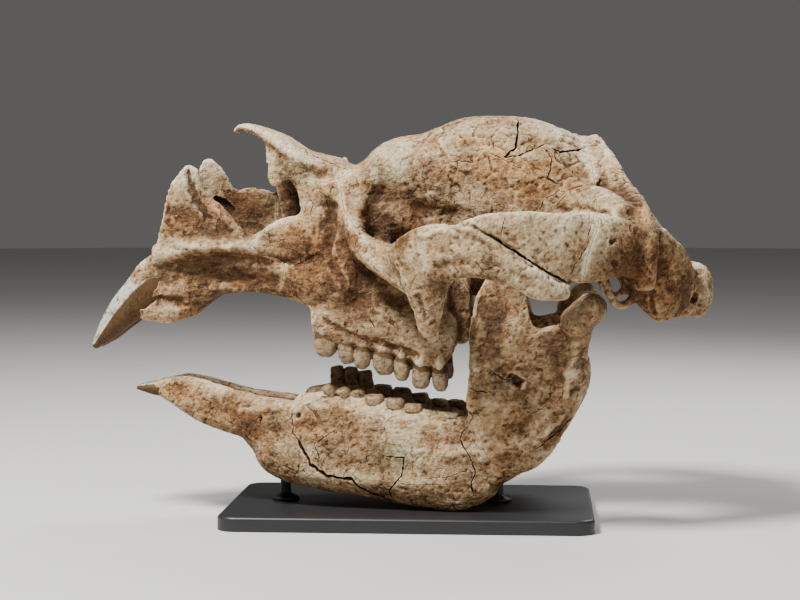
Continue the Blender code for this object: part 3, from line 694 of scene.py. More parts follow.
def occiput(bm):
    """Back of the skull with its crest, the condyles for the neck and the ear region."""
    # plate behind the braincase, widest at its middle
    limb(bm, [(254, 0, 478, 34, 13), (266, 0, 452, 78, 15), (280, 0, 420, 116, 18),
              (292, 0, 388, 140, 22), (298, 0, 358, 146, 22), (300, 0, 338, 126, 18)],
         squareness=2.3)
    # block below the braincase, down to the neck
    limb(bm, [(262, 0, 380, 104, 60), (296, 0, 364, 98, 44), (322, 0, 332, 84, 38),
              (344, 0, 307, 70, 35), (366, 0, 301, 52, 32)], squareness=2.3)
    for side in BOTH:
        # slope from the braincase to the root of the arch
        limb(bm, [(206, 84, 412, 14, 26), (230, 94, 402, 20, 34), (254, 118, 396, 24, 33),
                  (276, 140, 386, 20, 28)], side)
        # crest, from the roof out and down behind the arch
        limb(bm, [(250, 6, 490, 9, 10), (266, 50, 461, 9, 11), (286, 98, 427, 10, 12),
                  (304, 136, 398, 11, 12), (311, 150, 368, 12, 13), (308, 148, 338, 14, 15),
                  (307, 138, 310, 12, 15)], side)
        # process behind the ear
        limb(bm, [(318, 112, 350, 15, 30), (323, 106, 312, 17, 32), (331, 100, 286, 15, 26),
                  (334, 96, 270, 10, 15)], side)
        # slope from the crest to the condyle
        limb(bm, [(304, 122, 358, 18, 38), (324, 104, 328, 22, 44), (346, 78, 308, 22, 38),
                  (360, 56, 302, 20, 32)], side)
        # condyle, and the bar that joins it to the process
        limb(bm, [(336, 88, 282, 14, 16), (356, 66, 281, 14, 15), (376, 46, 283, 14, 15)], side)
        blob(bm, (378, 40, 300), (23, 27, 35), side)
        # slender loop of bone below the ear opening
        limb(bm, [(261, 130, 344, 8, 10), (260, 126, 322, 6, 6), (265, 122, 302, 5.5, 5.5),
                  (273, 120, 287, 5.5, 5.5), (286, 115, 285, 5.5, 5.5), (297, 110, 297, 6, 6),
                  (303, 105, 314, 9, 9)], side)


def cranium(bm):
    """All forms of the cranium."""
    rostrum(bm)
    face(bm)
    cheek(bm)
    vault(bm)
    occiput(bm)


# ---------------------------------------------------------------- forms of the lower jaw

def jaw(bm):
    """Both halves of the lower jaw, still joined at the chin."""
    # chin
    limb(bm, [(-288, 0, 162, 12, 17), (-240, 0, 146, 24, 24), (-190, 0, 131, 30, 27),
              (-150, 0, 116, 32, 30), (-110, 0, 106, 28, 30), (-75, 0, 98, 18, 22)])
    for side in BOTH:
        # body of the jaw
        limb(bm, [(-320, 15, 171, 8, 7), (-302, 18, 168, 12, 15), (-277, 22, 162, 15, 24),
                  (-245, 26, 150, 19, 28), (-219, 29, 141, 21, 29), (-193, 32, 134, 24, 30),
                  (-166, 36, 122, 27, 41), (-139, 42, 108, 29, 56), (-92, 53, 106, 30, 64),
                  (-34, 62, 100, 28, 65), (5, 68, 92, 28, 63), (45, 74, 86, 28, 62),
                  (78, 80, 84, 27, 62), (112, 86, 92, 22, 52)], side, squareness=2.3)
        # rising branch
        limb(bm, [(108, 88, 76, 20, 34), (124, 97, 100, 16, 46), (144, 104, 126, 13, 60),
                  (155, 110, 155, 11, 67), (165, 116, 190, 10, 74), (165, 121, 224, 10, 74),
                  (160, 124, 246, 9, 66)], side)
        # its front process, which passes inside the cheek arch
        limb(bm, [(140, 122, 214, 9, 46), (134, 124, 248, 9, 42), (134, 122, 280, 8, 36),
                  (140, 118, 310, 7, 28), (150, 114, 338, 6, 16), (156, 112, 350, 5, 8)], side)
        # neck and knob of the joint
        limb(bm, [(220, 122, 205, 11, 22), (226, 128, 236, 12, 16), (231, 140, 258, 17, 16)], side)
        for x, z in ((225, 266), (234, 274), (243, 282)):
            blob(bm, (x, 148, z), (20, 36, 20), side)
        # thick lower and hind border, turned inwards at the angle
        limb(bm, [(60, 82, 40, 16, 15), (110, 88, 56, 16, 15), (150, 92, 92, 20, 12),
                  (186, 95, 122, 24, 11), (216, 97, 152, 26, 11), (233, 100, 187, 24, 10),
                  (235, 110, 216, 16, 9)], side)
        # rim of the sockets along the tooth row
        for x, y, z in LOWER_TEETH:
            blob(bm, (x, y, z - 11), (13, 16, 10), side)
        for x, z in FRONT_TEETH:
            blob(bm, (x, FRONT_TEETH_Y, z - 12), (10, 13, 12), side)


# ---------------------------------------------------------------- sculpted details

CRANIUM_FEATURES = [
    # route in (x, z), radius, depth, span of y
    ([(-334, 290), (-312, 310), (-280, 322), (-235, 322), (-190, 314), (-150, 306)], 22, 7.0, (20, 90)),
    ([(-326, 278), (-304, 287), (-280, 284)], 8, 4.0, (20, 90)),
    ([(-290, 362), (-250, 352), (-215, 352)], 9, -2.0, (20, 90)),
    ([(-304, 402), (-262, 390), (-232, 372)], 14, 2.5, (30, 90)),
    ([(-268, 448), (-263, 426), (-252, 406), (-240, 390)], 6, 4.0, (30, 90)),
    ([(-292, 430), (-294, 408), (-298, 388)], 8, 2.0, (30, 90)),
    ([(-168, 494), (-130, 470), (-100, 455)], 10, -1.5, (10, 90)),
    ([(-84, 406), (-84, 380), (-86, 352)], 17, 11.0, (40, 110)),
    ([(-81, 342), (-74, 324), (-64, 307)], 9, 5.0, (40, 110)),
    ([(-100, 345), (-125, 333), (-150, 338)], 7, 3.0, (30, 110)),
    ([(-130, 372), (-112, 356)], 14, 3.0, (30, 110)),
    ([(-28, 398), (-10, 380), (8, 366)], 22, 3.0, (40, 120)),
    ([(1, 364)], 8, 6.0, (30, 120)),
    ([(-55, 330), (-29, 314), (0, 292)], 24, 5.0, (40, 120)),
    ([(-51, 288)], 5, 3.0, (40, 110)), ([(-26, 272)], 6, 3.0, (40, 110)),
    ([(-62, 256)], 5, 2.5, (40, 110)), ([(-3, 262)], 5, 3.0, (40, 110)),
    ([(-88, 262), (-70, 250), (-44, 240), (-10, 232), (30, 218)], 7, 2.5, (40, 120)),
    ([(20, 470), (60, 440), (110, 425), (170, 420)], 26, 3.0, (40, 120)),
    ([(30, 400), (70, 392)], 20, 4.0, (40, 120)),
    ([(60, 486), (130, 500), (200, 492)], 12, -2.0, (20, 120)),
    ([(206, 404), (236, 406), (262, 398)], 8, 3.0, (90, 220)),
    ([(266, 366)], 6, 5.0, (90, 220)), ([(270, 338)], 7, 4.0, (90, 220)),
    ([(283, 396), (301, 370), (309, 340)], 10, 2.0, (90, 170)),
    ([(365, 326), (368, 306), (372, 290)], 7, 11.0, (20, 75)),
    ([(322, 360), (332, 334), (343, 306)], 12, 4.0, (60, 140)),
    ([(318, 300), (322, 276)], 6, 3.0, (80, 140)),
    ([(88, 386), (110, 377), (133, 364), (157, 349), (181, 334), (202, 322), (218, 316)], 6, 3.5, (180, 240)),
    ([(40, 372), (66, 378), (90, 372)], 6, -2.0, (180, 240)),
    ([(60, 336), (90, 340), (130, 336), (170, 318)], 12, 2.0, (190, 240)),
    ([(36, 300), (44, 270)], 6, 2.0, (180, 240)),
]
PLATE_HOLLOW = [(-249, 42, 416, 6, 5), (-238, 42, 408, 8, 8), (-226, 43, 400, 6, 5)]     # in the right plate
JAW_FEATURES = [
    ([(120, 280), (140, 220), (160, 176), (150, 140)], 46, 8.0, (80, 170)),
    ([(92, 150), (98, 200), (108, 260)], 12, -3.0, (80, 170)),
    ([(70, 100), (120, 100), (170, 120), (205, 160), (220, 200)], 20, -4.5, (70, 170)),
    ([(147, 192), (155, 186)], 9, 12.0, (90, 170)), ([(160, 182)], 6, -2.5, (90, 170)),
    ([(224, 236), (220, 205), (212, 176)], 9, -3.0, (80, 170)),
    ([(240, 214), (232, 176), (212, 140), (190, 112)], 12, 3.5, (80, 170)),
    ([(-200, 143), (-135, 150), (-84, 154), (-21, 144), (56, 132)], 8, -1.5, (20, 110)),
    ([(-150, 124), (-90, 130), (-10, 120), (50, 112)], 16, 2.5, (30, 110)),
    ([(-126, 142)], 5, 5.0, (20, 110)), ([(-175, 134)], 4, 4.0, (20, 110)),
    ([(-250, 130), (-205, 108), (-176, 88)], 9, 2.0, (10, 90)),
    ([(-120, 66), (-60, 60), (0, 56), (60, 58)], 20, -3.0, (30, 110)),
]

# Suture routes: side view (x, z) unless said otherwise.
REACH = 260                 # past the skull on each side
ARCH_INSIDE = 140           # between the braincase and the cheek arches
PREMAXILLA_SUTURE = [(-166, 468), (-168, 376), (-188, 353), (-142, 331), (-150, 300), (-158, 250)]
NASAL_SUTURE = [(-215, 478), (-168, 462), (-132, 442), (-90, 436), (-66, 444), (-52, 456), (-46, 500)]
FACE_SUTURE = [(-73, 447), (-71, 436), (-64, 400), (-38, 366), (20, 352), (76, 330), (92, 300), (98, 200)]
OCCIPUT_SUTURE = [(232, 540), (248, 440), (250, 385), (236, 346), (232, 320), (230, 230)]
ARCH_SUTURE = [(50, 400), (88, 387), (110, 377), (133, 363), (157, 348), (181, 333), (202, 320),
               (216, 313), (236, 290)]
# Seen from above (x, y), with the span of z.
JUGAL_ROOT_Y = 172
JUGAL_ROOT = [(-30, JUGAL_ROOT_Y), (92, JUGAL_ROOT_Y)], (200, 420)
SQUAMOSAL_ROOT = [(190, 122), (262, 122)], (270, 440)
CHIN_SUTURE = [(-330, 0), (-40, 0)], (0, 220)
FACE_REACH = JUGAL_ROOT_Y + 0.5         # the face's suture runs out in the cuts at the roots of the jugals

# The middle of each bone, to tell the parted pieces by. Those off the midline are there on both sides.
BONE_MIDDLES = {
    "premaxilla": (-250, 0, 340), "nasals": (-120, 0, 470), "maxilla": (-20, 0, 290),
    "braincase": (120, 0, 400), "occiput": (300, 0, 370),
    "jugal": (90, 205, 330), "squamosal": (190, 190, 365),
    "dentary": (20, 80, 130),
}
CHEEK_BONES = ("jugal", "squamosal")


def bone_name(middle):
    """The bone whose middle is nearest, with its side where there is one on each."""
    def distance(name):
        x, y, z = BONE_MIDDLES[name]
        return math.dist((middle[0], abs(middle[1]) if y else middle[1], middle[2]), (x, y, z))
    name = min(BONE_MIDDLES, key=distance)
    if BONE_MIDDLES[name][1]:
        name += "_" + SIDE_NAMES[LEFT if middle[1] < 0 else RIGHT]
    return name


# Spacing of the bone's unevenness.
SWAY_SPACING = 16
SWELL_SPACING = 38
DENT_SPACING = 9
PIT_SPACING = 6
PLATE_SPACING = 26
FEATURE_SWAY = 3.5          # how far the edges of the features wander
PLATE_SWAY = 0.8            # and those of the loose plates, as a share of that
ROOF_ABOVE = (405, 440)     # the skull roof, where the plates stand out most, begins between these heights
ROOF_BEHIND = (-10, 40)     # and between these places along the skull


def sculpted(mesh, features, seed):
    """Presses the features into both sides of a skin and roughens it as weathered bone is."""
    points, normals = skull_points(mesh), point_normals(mesh)
    drift = rough(points, SWAY_SPACING, 3, seed)
    sway = np.stack([drift, rough(points, SWAY_SPACING, 3, seed + 20)], axis=1) * FEATURE_SWAY
    for side in BOTH:
        points = press(points, normals, sway, features, side)
    sizes = bpy.context.scene.skull_sizes
    swells = rough(points, SWELL_SPACING, 3, seed) * sizes.swells / MM
    dents = np.abs(rough(points, DENT_SPACING, 3, seed + 5)) * sizes.erosion / MM
    pits = smoothstep(0.25, 0.6, rough(points, PIT_SPACING, 2, seed + 9)) * sizes.erosion / MM
    level, edge = broken_plates(points + PLATE_SWAY * sway[:, (0, 1, 0)], PLATE_SPACING, seed)
    roof = smoothstep(*ROOF_ABOVE, points[:, 2]) * smoothstep(*ROOF_BEHIND, points[:, 0])
    gaps = edge * smoothstep(-0.1, 0.2, drift) * (0.5 + roof)
    flakes = (level * (0.25 + 1.2 * roof) - gaps) * sizes.flakes / MM
    points += normals * (swells - dents - pits + flakes)[:, None]
    move_points(mesh, points)
    return inside_mark(mesh, 0)


# Soft spots of each tint: x, z, half size along x and z, amount.
STAINS = {
    # iron stains, and along the lower borders partly a painted shade of the undersides
    "rust": [
        (-273, 382, 26, 18, 0.8), (131, 457, 39, 29, 0.9), (168, 441, 44, 31, 0.9),
        (69, 451, 36, 21, 0.5), (211, 432, 29, 29, 0.6), (-57, 358, 18, 13, 0.7),
        (298, 322, 42, 44, 0.8), (-123, 370, 34, 23, 0.7), (-94, 319, 39, 34, 0.5),
        (-271, 277, 16, 9, 0.9), (-286, 164, 36, 13, 0.8), (-192, 114, 34, 13, 0.7),
        (-111, 127, 34, 26, 0.6), (132, 141, 44, 29, 0.6), (206, 166, 23, 52, 0.5),
        (56, 51, 78, 13, 0.5), (-224, 407, 34, 21, 0.7), (-100, 340, 60, 60, 0.7),
        (-230, 130, 70, 34, 0.6), (-220, 300, 110, 24, 0.5), (320, 310, 60, 60, 0.7),
        (-88, 440, 30, 30, 0.5)],
    # pale bone and chips, and in places a painted highlight and sheen, as on the tops and along the middle of
    # the jaw
    "pale": [
        (30, 474, 44, 23, 0.7), (-290, 352, 60, 12, 0.7), (-235, 360, 52, 12, 0.6),
        (-160, 384, 30, 8, 0.9), (-28, 341, 31, 12, 0.8), (-73, 59, 57, 16, 0.8),
        (31, 111, 44, 18, 0.7), (224, 396, 26, 21, 0.5), (267, 432, 18, 39, 0.7),
        (169, 373, 52, 29, 0.6), (62, 340, 44, 18, 0.5), (187, 441, 21, 12, 0.9)],
    # blue-grey patches, and in places a painted bluish sheen, as along the middle of the jaw
    "cool": [
        (-125, 450, 39, 18, 0.9), (-12, 449, 29, 18, 0.8), (5, 91, 44, 21, 0.8),
        (-268, 433, 12, 26, 0.9), (57, 163, 34, 18, 0.5), (132, 191, 18, 18, 0.6),
        (74, 355, 39, 18, 0.5), (119, 113, 39, 23, 0.4), (181, 367, 31, 18, 0.4)],
    # painted shade: spots darkened where hollows, overhangs and the face below the eye socket lie in shadow
    "gloom": [
        (-12, 384, 46, 26, 1.0), (-96, 356, 58, 52, 0.85), (-230, 140, 90, 34, 0.35),
        (-80, 379, 13, 40, 0.9), (-55, 319, 40, 26, 0.7), (-30, 270, 70, 44, 0.6),
        (-143, 416, 18, 28, 0.9), (69, 301, 34, 39, 0.7), (-326, 266, 30, 14, 1.0),
        (-70, 300, 60, 50, 0.8), (40, 270, 40, 40, 0.5), (340, 300, 60, 50, 0.6),
        (150, 215, 60, 50, 0.4), (-335, 290, 26, 16, 0.8), (-300, 312, 34, 14, 0.8),
        (-250, 316, 50, 16, 0.9), (-190, 308, 50, 14, 0.9), (-130, 300, 44, 18, 0.8),
        (-120, 360, 26, 20, 0.5), (-200, 400, 40, 26, 0.7), (340, 310, 34, 60, 1.0),
        (300, 330, 40, 50, 0.9), (-240, 290, 90, 16, 1.0), (-160, 294, 60, 16, 1.0),
        (112, 250, 30, 60, 0.6), (150, 190, 18, 12, 0.9), (205, 120, 26, 40, 0.6),
        (90, 210, 26, 60, 0.5), (-250, 142, 70, 14, 0.5), (304, 269, 26, 23, 0.7),
        (370, 300, 12, 26, 0.9), (255, 291, 21, 26, 0.6), (-180, 78, 50, 14, 0.6),
        (-90, 140, 60, 14, 0.5), (232, 280, 30, 26, 0.5), (-10, 110, 90, 8, 0.3),
        (-118, 446, 26, 16, 0.7), (-92, 428, 22, 34, 0.8), (-128, 404, 26, 18, 0.6),
        (292, 412, 20, 44, 0.8), (316, 368, 22, 40, 0.7), (276, 372, 18, 26, 0.5),
        (-196, 142, 40, 10, 0.5), (-240, 410, 22, 14, 0.5)],
}
SPOT_EDGE = (1.7, 0.3)     # a spot fades in between these shares of its half sizes
# The smoother, greyer finish of the cheek arches fades in outwards, upwards and at both their ends.
ARCH_OUT, ARCH_UP, ARCH_START, ARCH_END = (150, 190), (270, 320), (-6, 40), (258, 215)


def paint_stains(mesh):
    """One attribute for each tint, from its spots, and one for the cheek arches. Undersides get a painted
    shade, dark and warm, and tops a painted light that makes them pale."""
    points, upward = skull_points(mesh), point_normals(mesh)[:, 2]
    flat = points[:, (0, 2)]
    # Painted light by the way each point faces: undersides get a painted shade, dark and warm, and tops a
    # painted light.
    facing = {"rust": 0.6 * smoothstep(-0.1, -0.8, upward), "gloom": 0.6 * smoothstep(0.1, -0.8, upward),
              "pale": 0.6 * smoothstep(0.15, 0.9, upward)}
    arch = smoothstep(*ARCH_OUT, np.abs(points[:, 1])) * smoothstep(*ARCH_UP, points[:, 2])
    paint(mesh, "arch", arch * smoothstep(*ARCH_START, points[:, 0]) * smoothstep(*ARCH_END, points[:, 0]))
    for tint, spots in STAINS.items():
        amount = facing.get(tint, np.zeros(len(flat)))
        for x, z, half_x, half_z, strength in spots:
            away = np.linalg.norm((flat - (x, z)) / (half_x, half_z), axis=1)
            amount = np.maximum(amount, strength * smoothstep(*SPOT_EDGE, away))
        paint(mesh, tint, amount)


# Cracks: route in (x, z), width, depth. The right side has them too, a little shifted.
CRANIUM_CRACKS = [
    ([(153, 516), (151, 480), (135, 467)], 3.4, 8), ([(135, 467), (151, 469), (189, 485)], 2.6, 6),
    ([(59, 459), (80, 463), (101, 461)], 1.8, 4),
    ([(-138, 487), (-117, 476), (-95, 465), (-73, 456), (-60, 452)], 2.0, 4),
    ([(110, 477), (132, 466), (158, 451), (168, 444)], 1.2, 4),
    ([(187, 476), (195, 464), (191, 441), (206, 431)], 2.2, 5),
    ([(193, 479), (206, 474), (224, 477), (252, 479)], 3.4, 8),
    ([(178, 399), (187, 414), (205, 426), (213, 421), (201, 406)], 1.5, 4),
    ([(-246, 430), (-237, 425), (-225, 418), (-212, 420)], 1.3, 4),
    ([(-295, 391), (-279, 396), (-258, 391)], 1.2, 4),
    ([(-187, 357), (-169, 343), (-150, 339), (-137, 331), (-119, 335), (-99, 349)], 1.4, 5),
    ([(-112, 424), (-105, 408), (-110, 392)], 1.3, 4), ([(-72, 300), (-40, 296), (-20, 300)], 1.2, 4),
    ([(-30, 288), (-32, 268), (-24, 250)], 1.5, 4), ([(-96, 292), (-70, 285), (-52, 290)], 1.0, 4),
    ([(-60, 370), (-48, 372), (-36, 366)], 0.9, 3), ([(94, 440), (100, 425), (92, 412)], 1.2, 4),
    ([(-40, 440), (-20, 446), (4, 440)], 1.0, 3), ([(240, 420), (252, 404), (248, 386)], 1.3, 4),
    ([(300, 350), (312, 330), (306, 300)], 1.2, 4), ([(320, 340), (338, 322), (342, 306)], 1.3, 4),
]
ARCH_CRACKS = [
    ([(142, 403), (137, 384), (134, 362)], 1.4, 6),
    ([(240, 400), (238, 363), (223, 340), (216, 322)], 1.8, 4),
    ([(13, 352), (26, 338), (34, 327), (46, 321), (57, 322)], 1.0, 3),
    ([(28, 275), (39, 279), (52, 284)], 1.4, 4), ([(98, 362), (112, 352), (128, 349)], 0.8, 3),
    ([(116, 374), (133, 364), (157, 349), (181, 334), (202, 321), (213, 316)], 5.5, 8),
]
JAW_CRACKS = [
    ([(-133, 148), (-132, 118), (-121, 107)], 2.2, 5),
    ([(-124, 110), (-108, 79), (-87, 65), (-56, 61), (-45, 50), (-15, 38), (-3, 31)], 5.5, 9),
    ([(-134, 115), (-148, 111), (-166, 97)], 1.2, 3), ([(-109, 77), (-128, 65)], 1.2, 3),
    ([(-107, 79), (-97, 88), (-103, 105), (-74, 125)], 1.8, 4),
    ([(-14, 92), (12, 91), (8, 67), (-7, 49), (-4, 36)], 2.6, 5),
    ([(88, 131), (82, 116), (95, 94), (102, 76), (96, 58), (99, 44)], 2.1, 5),
    ([(33, 64), (67, 69), (98, 78)], 1.2, 3), ([(-60, 93), (-58, 120)], 1.1, 3),
    ([(-20, 60), (20, 57), (60, 60)], 1.1, 3),
    ([(-150, 76), (-120, 70), (-96, 60)], 1.1, 3),
    ([(-210, 132), (-196, 118)], 1.1, 3), ([(120, 205), (136, 192), (150, 194)], 1.8, 4),
    ([(84, 190), (100, 178), (126, 176)], 1.8, 4), ([(-62, 86), (-50, 74), (-56, 64)], 1.1, 3),
    ([(226, 150), (206, 128), (176, 104)], 2.4, 4), ([(150, 160), (172, 150), (196, 166)], 1.2, 3),
]
CRACK_SHIFTS = {LEFT: (0, 0), RIGHT: (7, 2)}


def both_sides(cracks):
    """The cracks of both sides, as (side, route, width, depth)."""
    return [(side, [(x + along, z + up) for x, z in route], width, depth)
            for side, (along, up) in CRACK_SHIFTS.items() for route, width, depth in cracks]


# ---------------------------------------------------------------- teeth

def incisor(level, side, growth=0.0):
    """A great incisor, or with growth the cutter for its socket."""
    stations = INCISORS[level]
    bm = bmesh.new()
    limb(bm, [(x, y, z, wide + growth, deep + growth) for x, y, z, wide, deep in stations], side)
    return placed_mesh(bm, level + "_incisor")


def upper_crowns(bm, side):
    """Ridged cheek teeth: each ridge runs across the jaw and narrows to a worn edge."""
    for i, (x, y, z, half) in enumerate(UPPER_TEETH):
        sway = 2 * math.sin(i * 2.3)
        limb(bm, [(x + 1, y, z + 20, 12, 0.8 * half), (x, y, z + 8, 15, 0.98 * half),
                  (x + sway * 0.4, y + 0.5, z - 2, 15.5, half), (x + sway, y + 1, z - 9, 14, 0.84 * half),
                  (x + sway * 1.4, y + 1, z - 13, 11, 0.6 * half)], side, squareness=2.7, nose=0.25)


def lower_crowns(bm, side):
    """Worn low on the cheek side; the front ones stand tall on the right and are broken on the left."""
    for (x, z), rise in zip(FRONT_TEETH, FRONT_RISES[side]):
        y, top = FRONT_TEETH_Y, z + rise
        limb(bm, [(x, y, z - 16, 10, 7), (x + 1, y, z - 4, 11.5, 10), (x, y, (z + top) / 2, 11.5, 9.6),
                  (x - 1, y, top - 1, 10, 8.4)], side, squareness=3.0, nose=0.2)
    for i, ((x, y, z), rise) in enumerate(zip(LOWER_TEETH, LOWER_RISES)):
        top = z + rise
        limb(bm, [(x, y, z - 14, 12, 10), (x, y, z - 2, 15.5, 12.8), (x, y, top - 4, 15.5, 13 - 0.5 * i),
                  (x, y, top, 12.5, 10.5)], side, squareness=3.0, nose=0.15)


# Where enamel begins and where it is full: heights from the crowns' middles, towards the grinding faces.
UPPER_ENAMEL = (-14, -2)
LOWER_ENAMEL = (-4, 6)
FRONT_ENAMEL = 0.55                                             # amount on the post-like front teeth
FRONT_TEETH_END = (-46, -36)
INCISOR_ENAMEL = {"upper": (0.1, 0.8), "lower": (0.4, 1.2)}     # across the tooth, in its half depths


def upper_enamel(points):
    """Amount of enamel at each point of an upper row of cheek teeth."""
    x, _, z, _ = np.transpose(UPPER_TEETH)
    return smoothstep(*UPPER_ENAMEL, np.interp(points[:, 0], x, z) - points[:, 2])


def lower_enamel(points):
    """Amount of enamel at each point of a lower row."""
    x, _, z = np.transpose(LOWER_TEETH)
    share = FRONT_ENAMEL + (1 - FRONT_ENAMEL) * smoothstep(*FRONT_TEETH_END, points[:, 0])
    return smoothstep(*LOWER_ENAMEL, points[:, 2] - np.interp(points[:, 0], x, z)) * share


def incisor_enamel(points, level):
    """Amount of enamel at each point of a great incisor: it covers the front face."""
    x, _, z, _, deep = np.transpose(INCISORS[level])
    across = (points[:, 2] - np.interp(points[:, 0], x, z)) / np.interp(points[:, 0], x, deep)
    return smoothstep(*INCISOR_ENAMEL[level], across)


CHEEK_WEAR = (1.1, 9)       # height and spacing of the crowns' unevenness
INCISOR_WEAR = (0.25, 12)   # and of the incisors'
TOOTH_SMOOTHING = 3


def worn(mesh, wear, spacing, seed):
    """Roughens a tooth, and gives its points in the skull's own millimetres."""
    points, normals = skull_points(mesh), point_normals(mesh)
    points += normals * (wear * rough(points, spacing, 3, seed))[:, None]
    move_points(mesh, points)
    inside_mark(mesh, 0)
    return points


def paint_tooth(mesh, enamel, bright):
    """The attributes that the tooth material reads, but for the painted occlusion shade."""
    paint(mesh, "enamel", enamel)
    paint(mesh, "bright", bright)
    paint_relief(mesh)


# ---------------------------------------------------------------- materials

class Nodes:
    """Adds nodes to a material and links what is passed: a socket is linked, anything else is set."""

    def __init__(self, name):
        self.material = bpy.data.materials.new(name)
        self.material.use_nodes = True
        self.tree = self.material.node_tree
        self.shader = self.tree.nodes["Principled BSDF"]
        self.place = self.add("ShaderNodeTexCoord").outputs["Object"]

    def add(self, kind, inputs=(), **settings):
        """A new node with these settings and inputs."""
        node = self.tree.nodes.new(kind)
        for key, value in settings.items():
            setattr(node, key, value)
        for key, value in dict(inputs).items():
            self.set(node.inputs[key], value)
        return node

    def set(self, socket, value):
        """Links a socket to another's output, or sets it to a number or a colour."""
        if isinstance(value, bpy.types.NodeSocket):
            self.tree.links.new(value, socket)
        else:
            if isinstance(value, tuple) and len(value) == 3 and socket.type == "RGBA":
                value = (*value, 1)
            socket.default_value = value

    def noise(self, size, detail=4.0, roughness=0.55, stretch=(1, 1, 1), distortion=0.0):
        """Noise from 0 to 1 whose swells are about size millimetres apart."""
        place = self.add("ShaderNodeMapping", {"Vector": self.place, "Scale": stretch})
        return self.add("ShaderNodeTexNoise", {"Vector": place.outputs[0], "Scale": 1 / (size * MM),
                                               "Detail": detail, "Roughness": roughness,
                                               "Distortion": distortion}).outputs["Fac"]

    def cells(self, size, feature="F1", sway=0.0):
        """Distance from the middles, or the borders, of scattered cells; sway makes the borders wander."""
        place = self.place
        if sway:
            drift = self.add("ShaderNodeTexNoise",
                             {"Vector": place, "Scale": 2.4 / (size * MM), "Detail": 3.0}).outputs["Color"]
            place = self.add("ShaderNodeVectorMath", {0: drift, 1: (sway * size * MM,) * 3, 2: place},
                             operation="MULTIPLY_ADD").outputs[0]
        return self.add("ShaderNodeTexVoronoi", {"Vector": place, "Scale": 1 / (size * MM)},
                        feature=feature).outputs["Distance"]

    def attribute(self, name):
        """What is painted on the mesh under this name."""
        return self.add("ShaderNodeAttribute", attribute_name=name).outputs["Fac"]

    def range(self, value, low, high, to_low=0.0, to_high=1.0):
        """The value carried smoothly from low..high to to_low..to_high."""
        return self.add("ShaderNodeMapRange", {"Value": value, "From Min": low, "From Max": high,
                                               "To Min": to_low, "To Max": to_high},
                        interpolation_type="SMOOTHSTEP").outputs[0]

    def math(self, operation, a, b, c=0.0):
        """One operation on two values, or on three."""
        return self.add("ShaderNodeMath", {0: a, 1: b, 2: c}, operation=operation).outputs[0]

    def sum(self, start, *terms):
        """start plus each value times its weight."""
        for term, weight in terms:
            start = self.math("MULTIPLY_ADD", term, weight, start)
        return start

    def total(self, start, *terms):
        """start plus each value's distance from a half, times its weight."""
        return self.sum(start - sum(0.5 * weight for _, weight in terms), *terms)

    def ramp(self, value, *stops):
        """The colour at a value on a scale of (position, colour) stops."""
        node = self.add("ShaderNodeValToRGB", {"Fac": value})
        elements = node.color_ramp.elements
        for element, (position, _) in zip(elements, stops):
            element.position = position
        for position, _ in stops[len(elements):]:
            elements.new(position)
        for element, (position, colour) in zip(elements, stops):
            element.position = position
            element.color = (*colour, 1)
        return node.outputs["Color"]

    def mix(self, factor, a, b, blend="MIX"):
        """Colour a, turned into colour b as the factor rises to 1."""
        node = self.add("ShaderNodeMix", {0: factor, 6: a, 7: b}, data_type="RGBA", blend_type=blend)
        return node.outputs[2]

    def bump(self, height, distance, strength):
        """The normal of a surface with this height, distance millimetres deep in full."""
        return self.add("ShaderNodeBump", {"Height": height, "Distance": distance * MM,
                                           "Strength": strength}).outputs[0]

    def finish(self, **inputs):
        """Gives the shader its inputs, whose names have _ for each space."""
        for key, value in inputs.items():
            self.set(self.shader.inputs[key.replace("_", " ")], value)
        return self.material


def patch(nodes, tint, blur):
    """A painted tint broken up by noise into patches with ragged edges."""
    return nodes.range(nodes.sum(nodes.attribute(tint), (blur, 0.9)), 0.62, 1.32)


TONE_STOPS = (0.0, 0.20, 0.42, 0.66, 0.92)      # where each of the bone's colours lies, from dark to cream


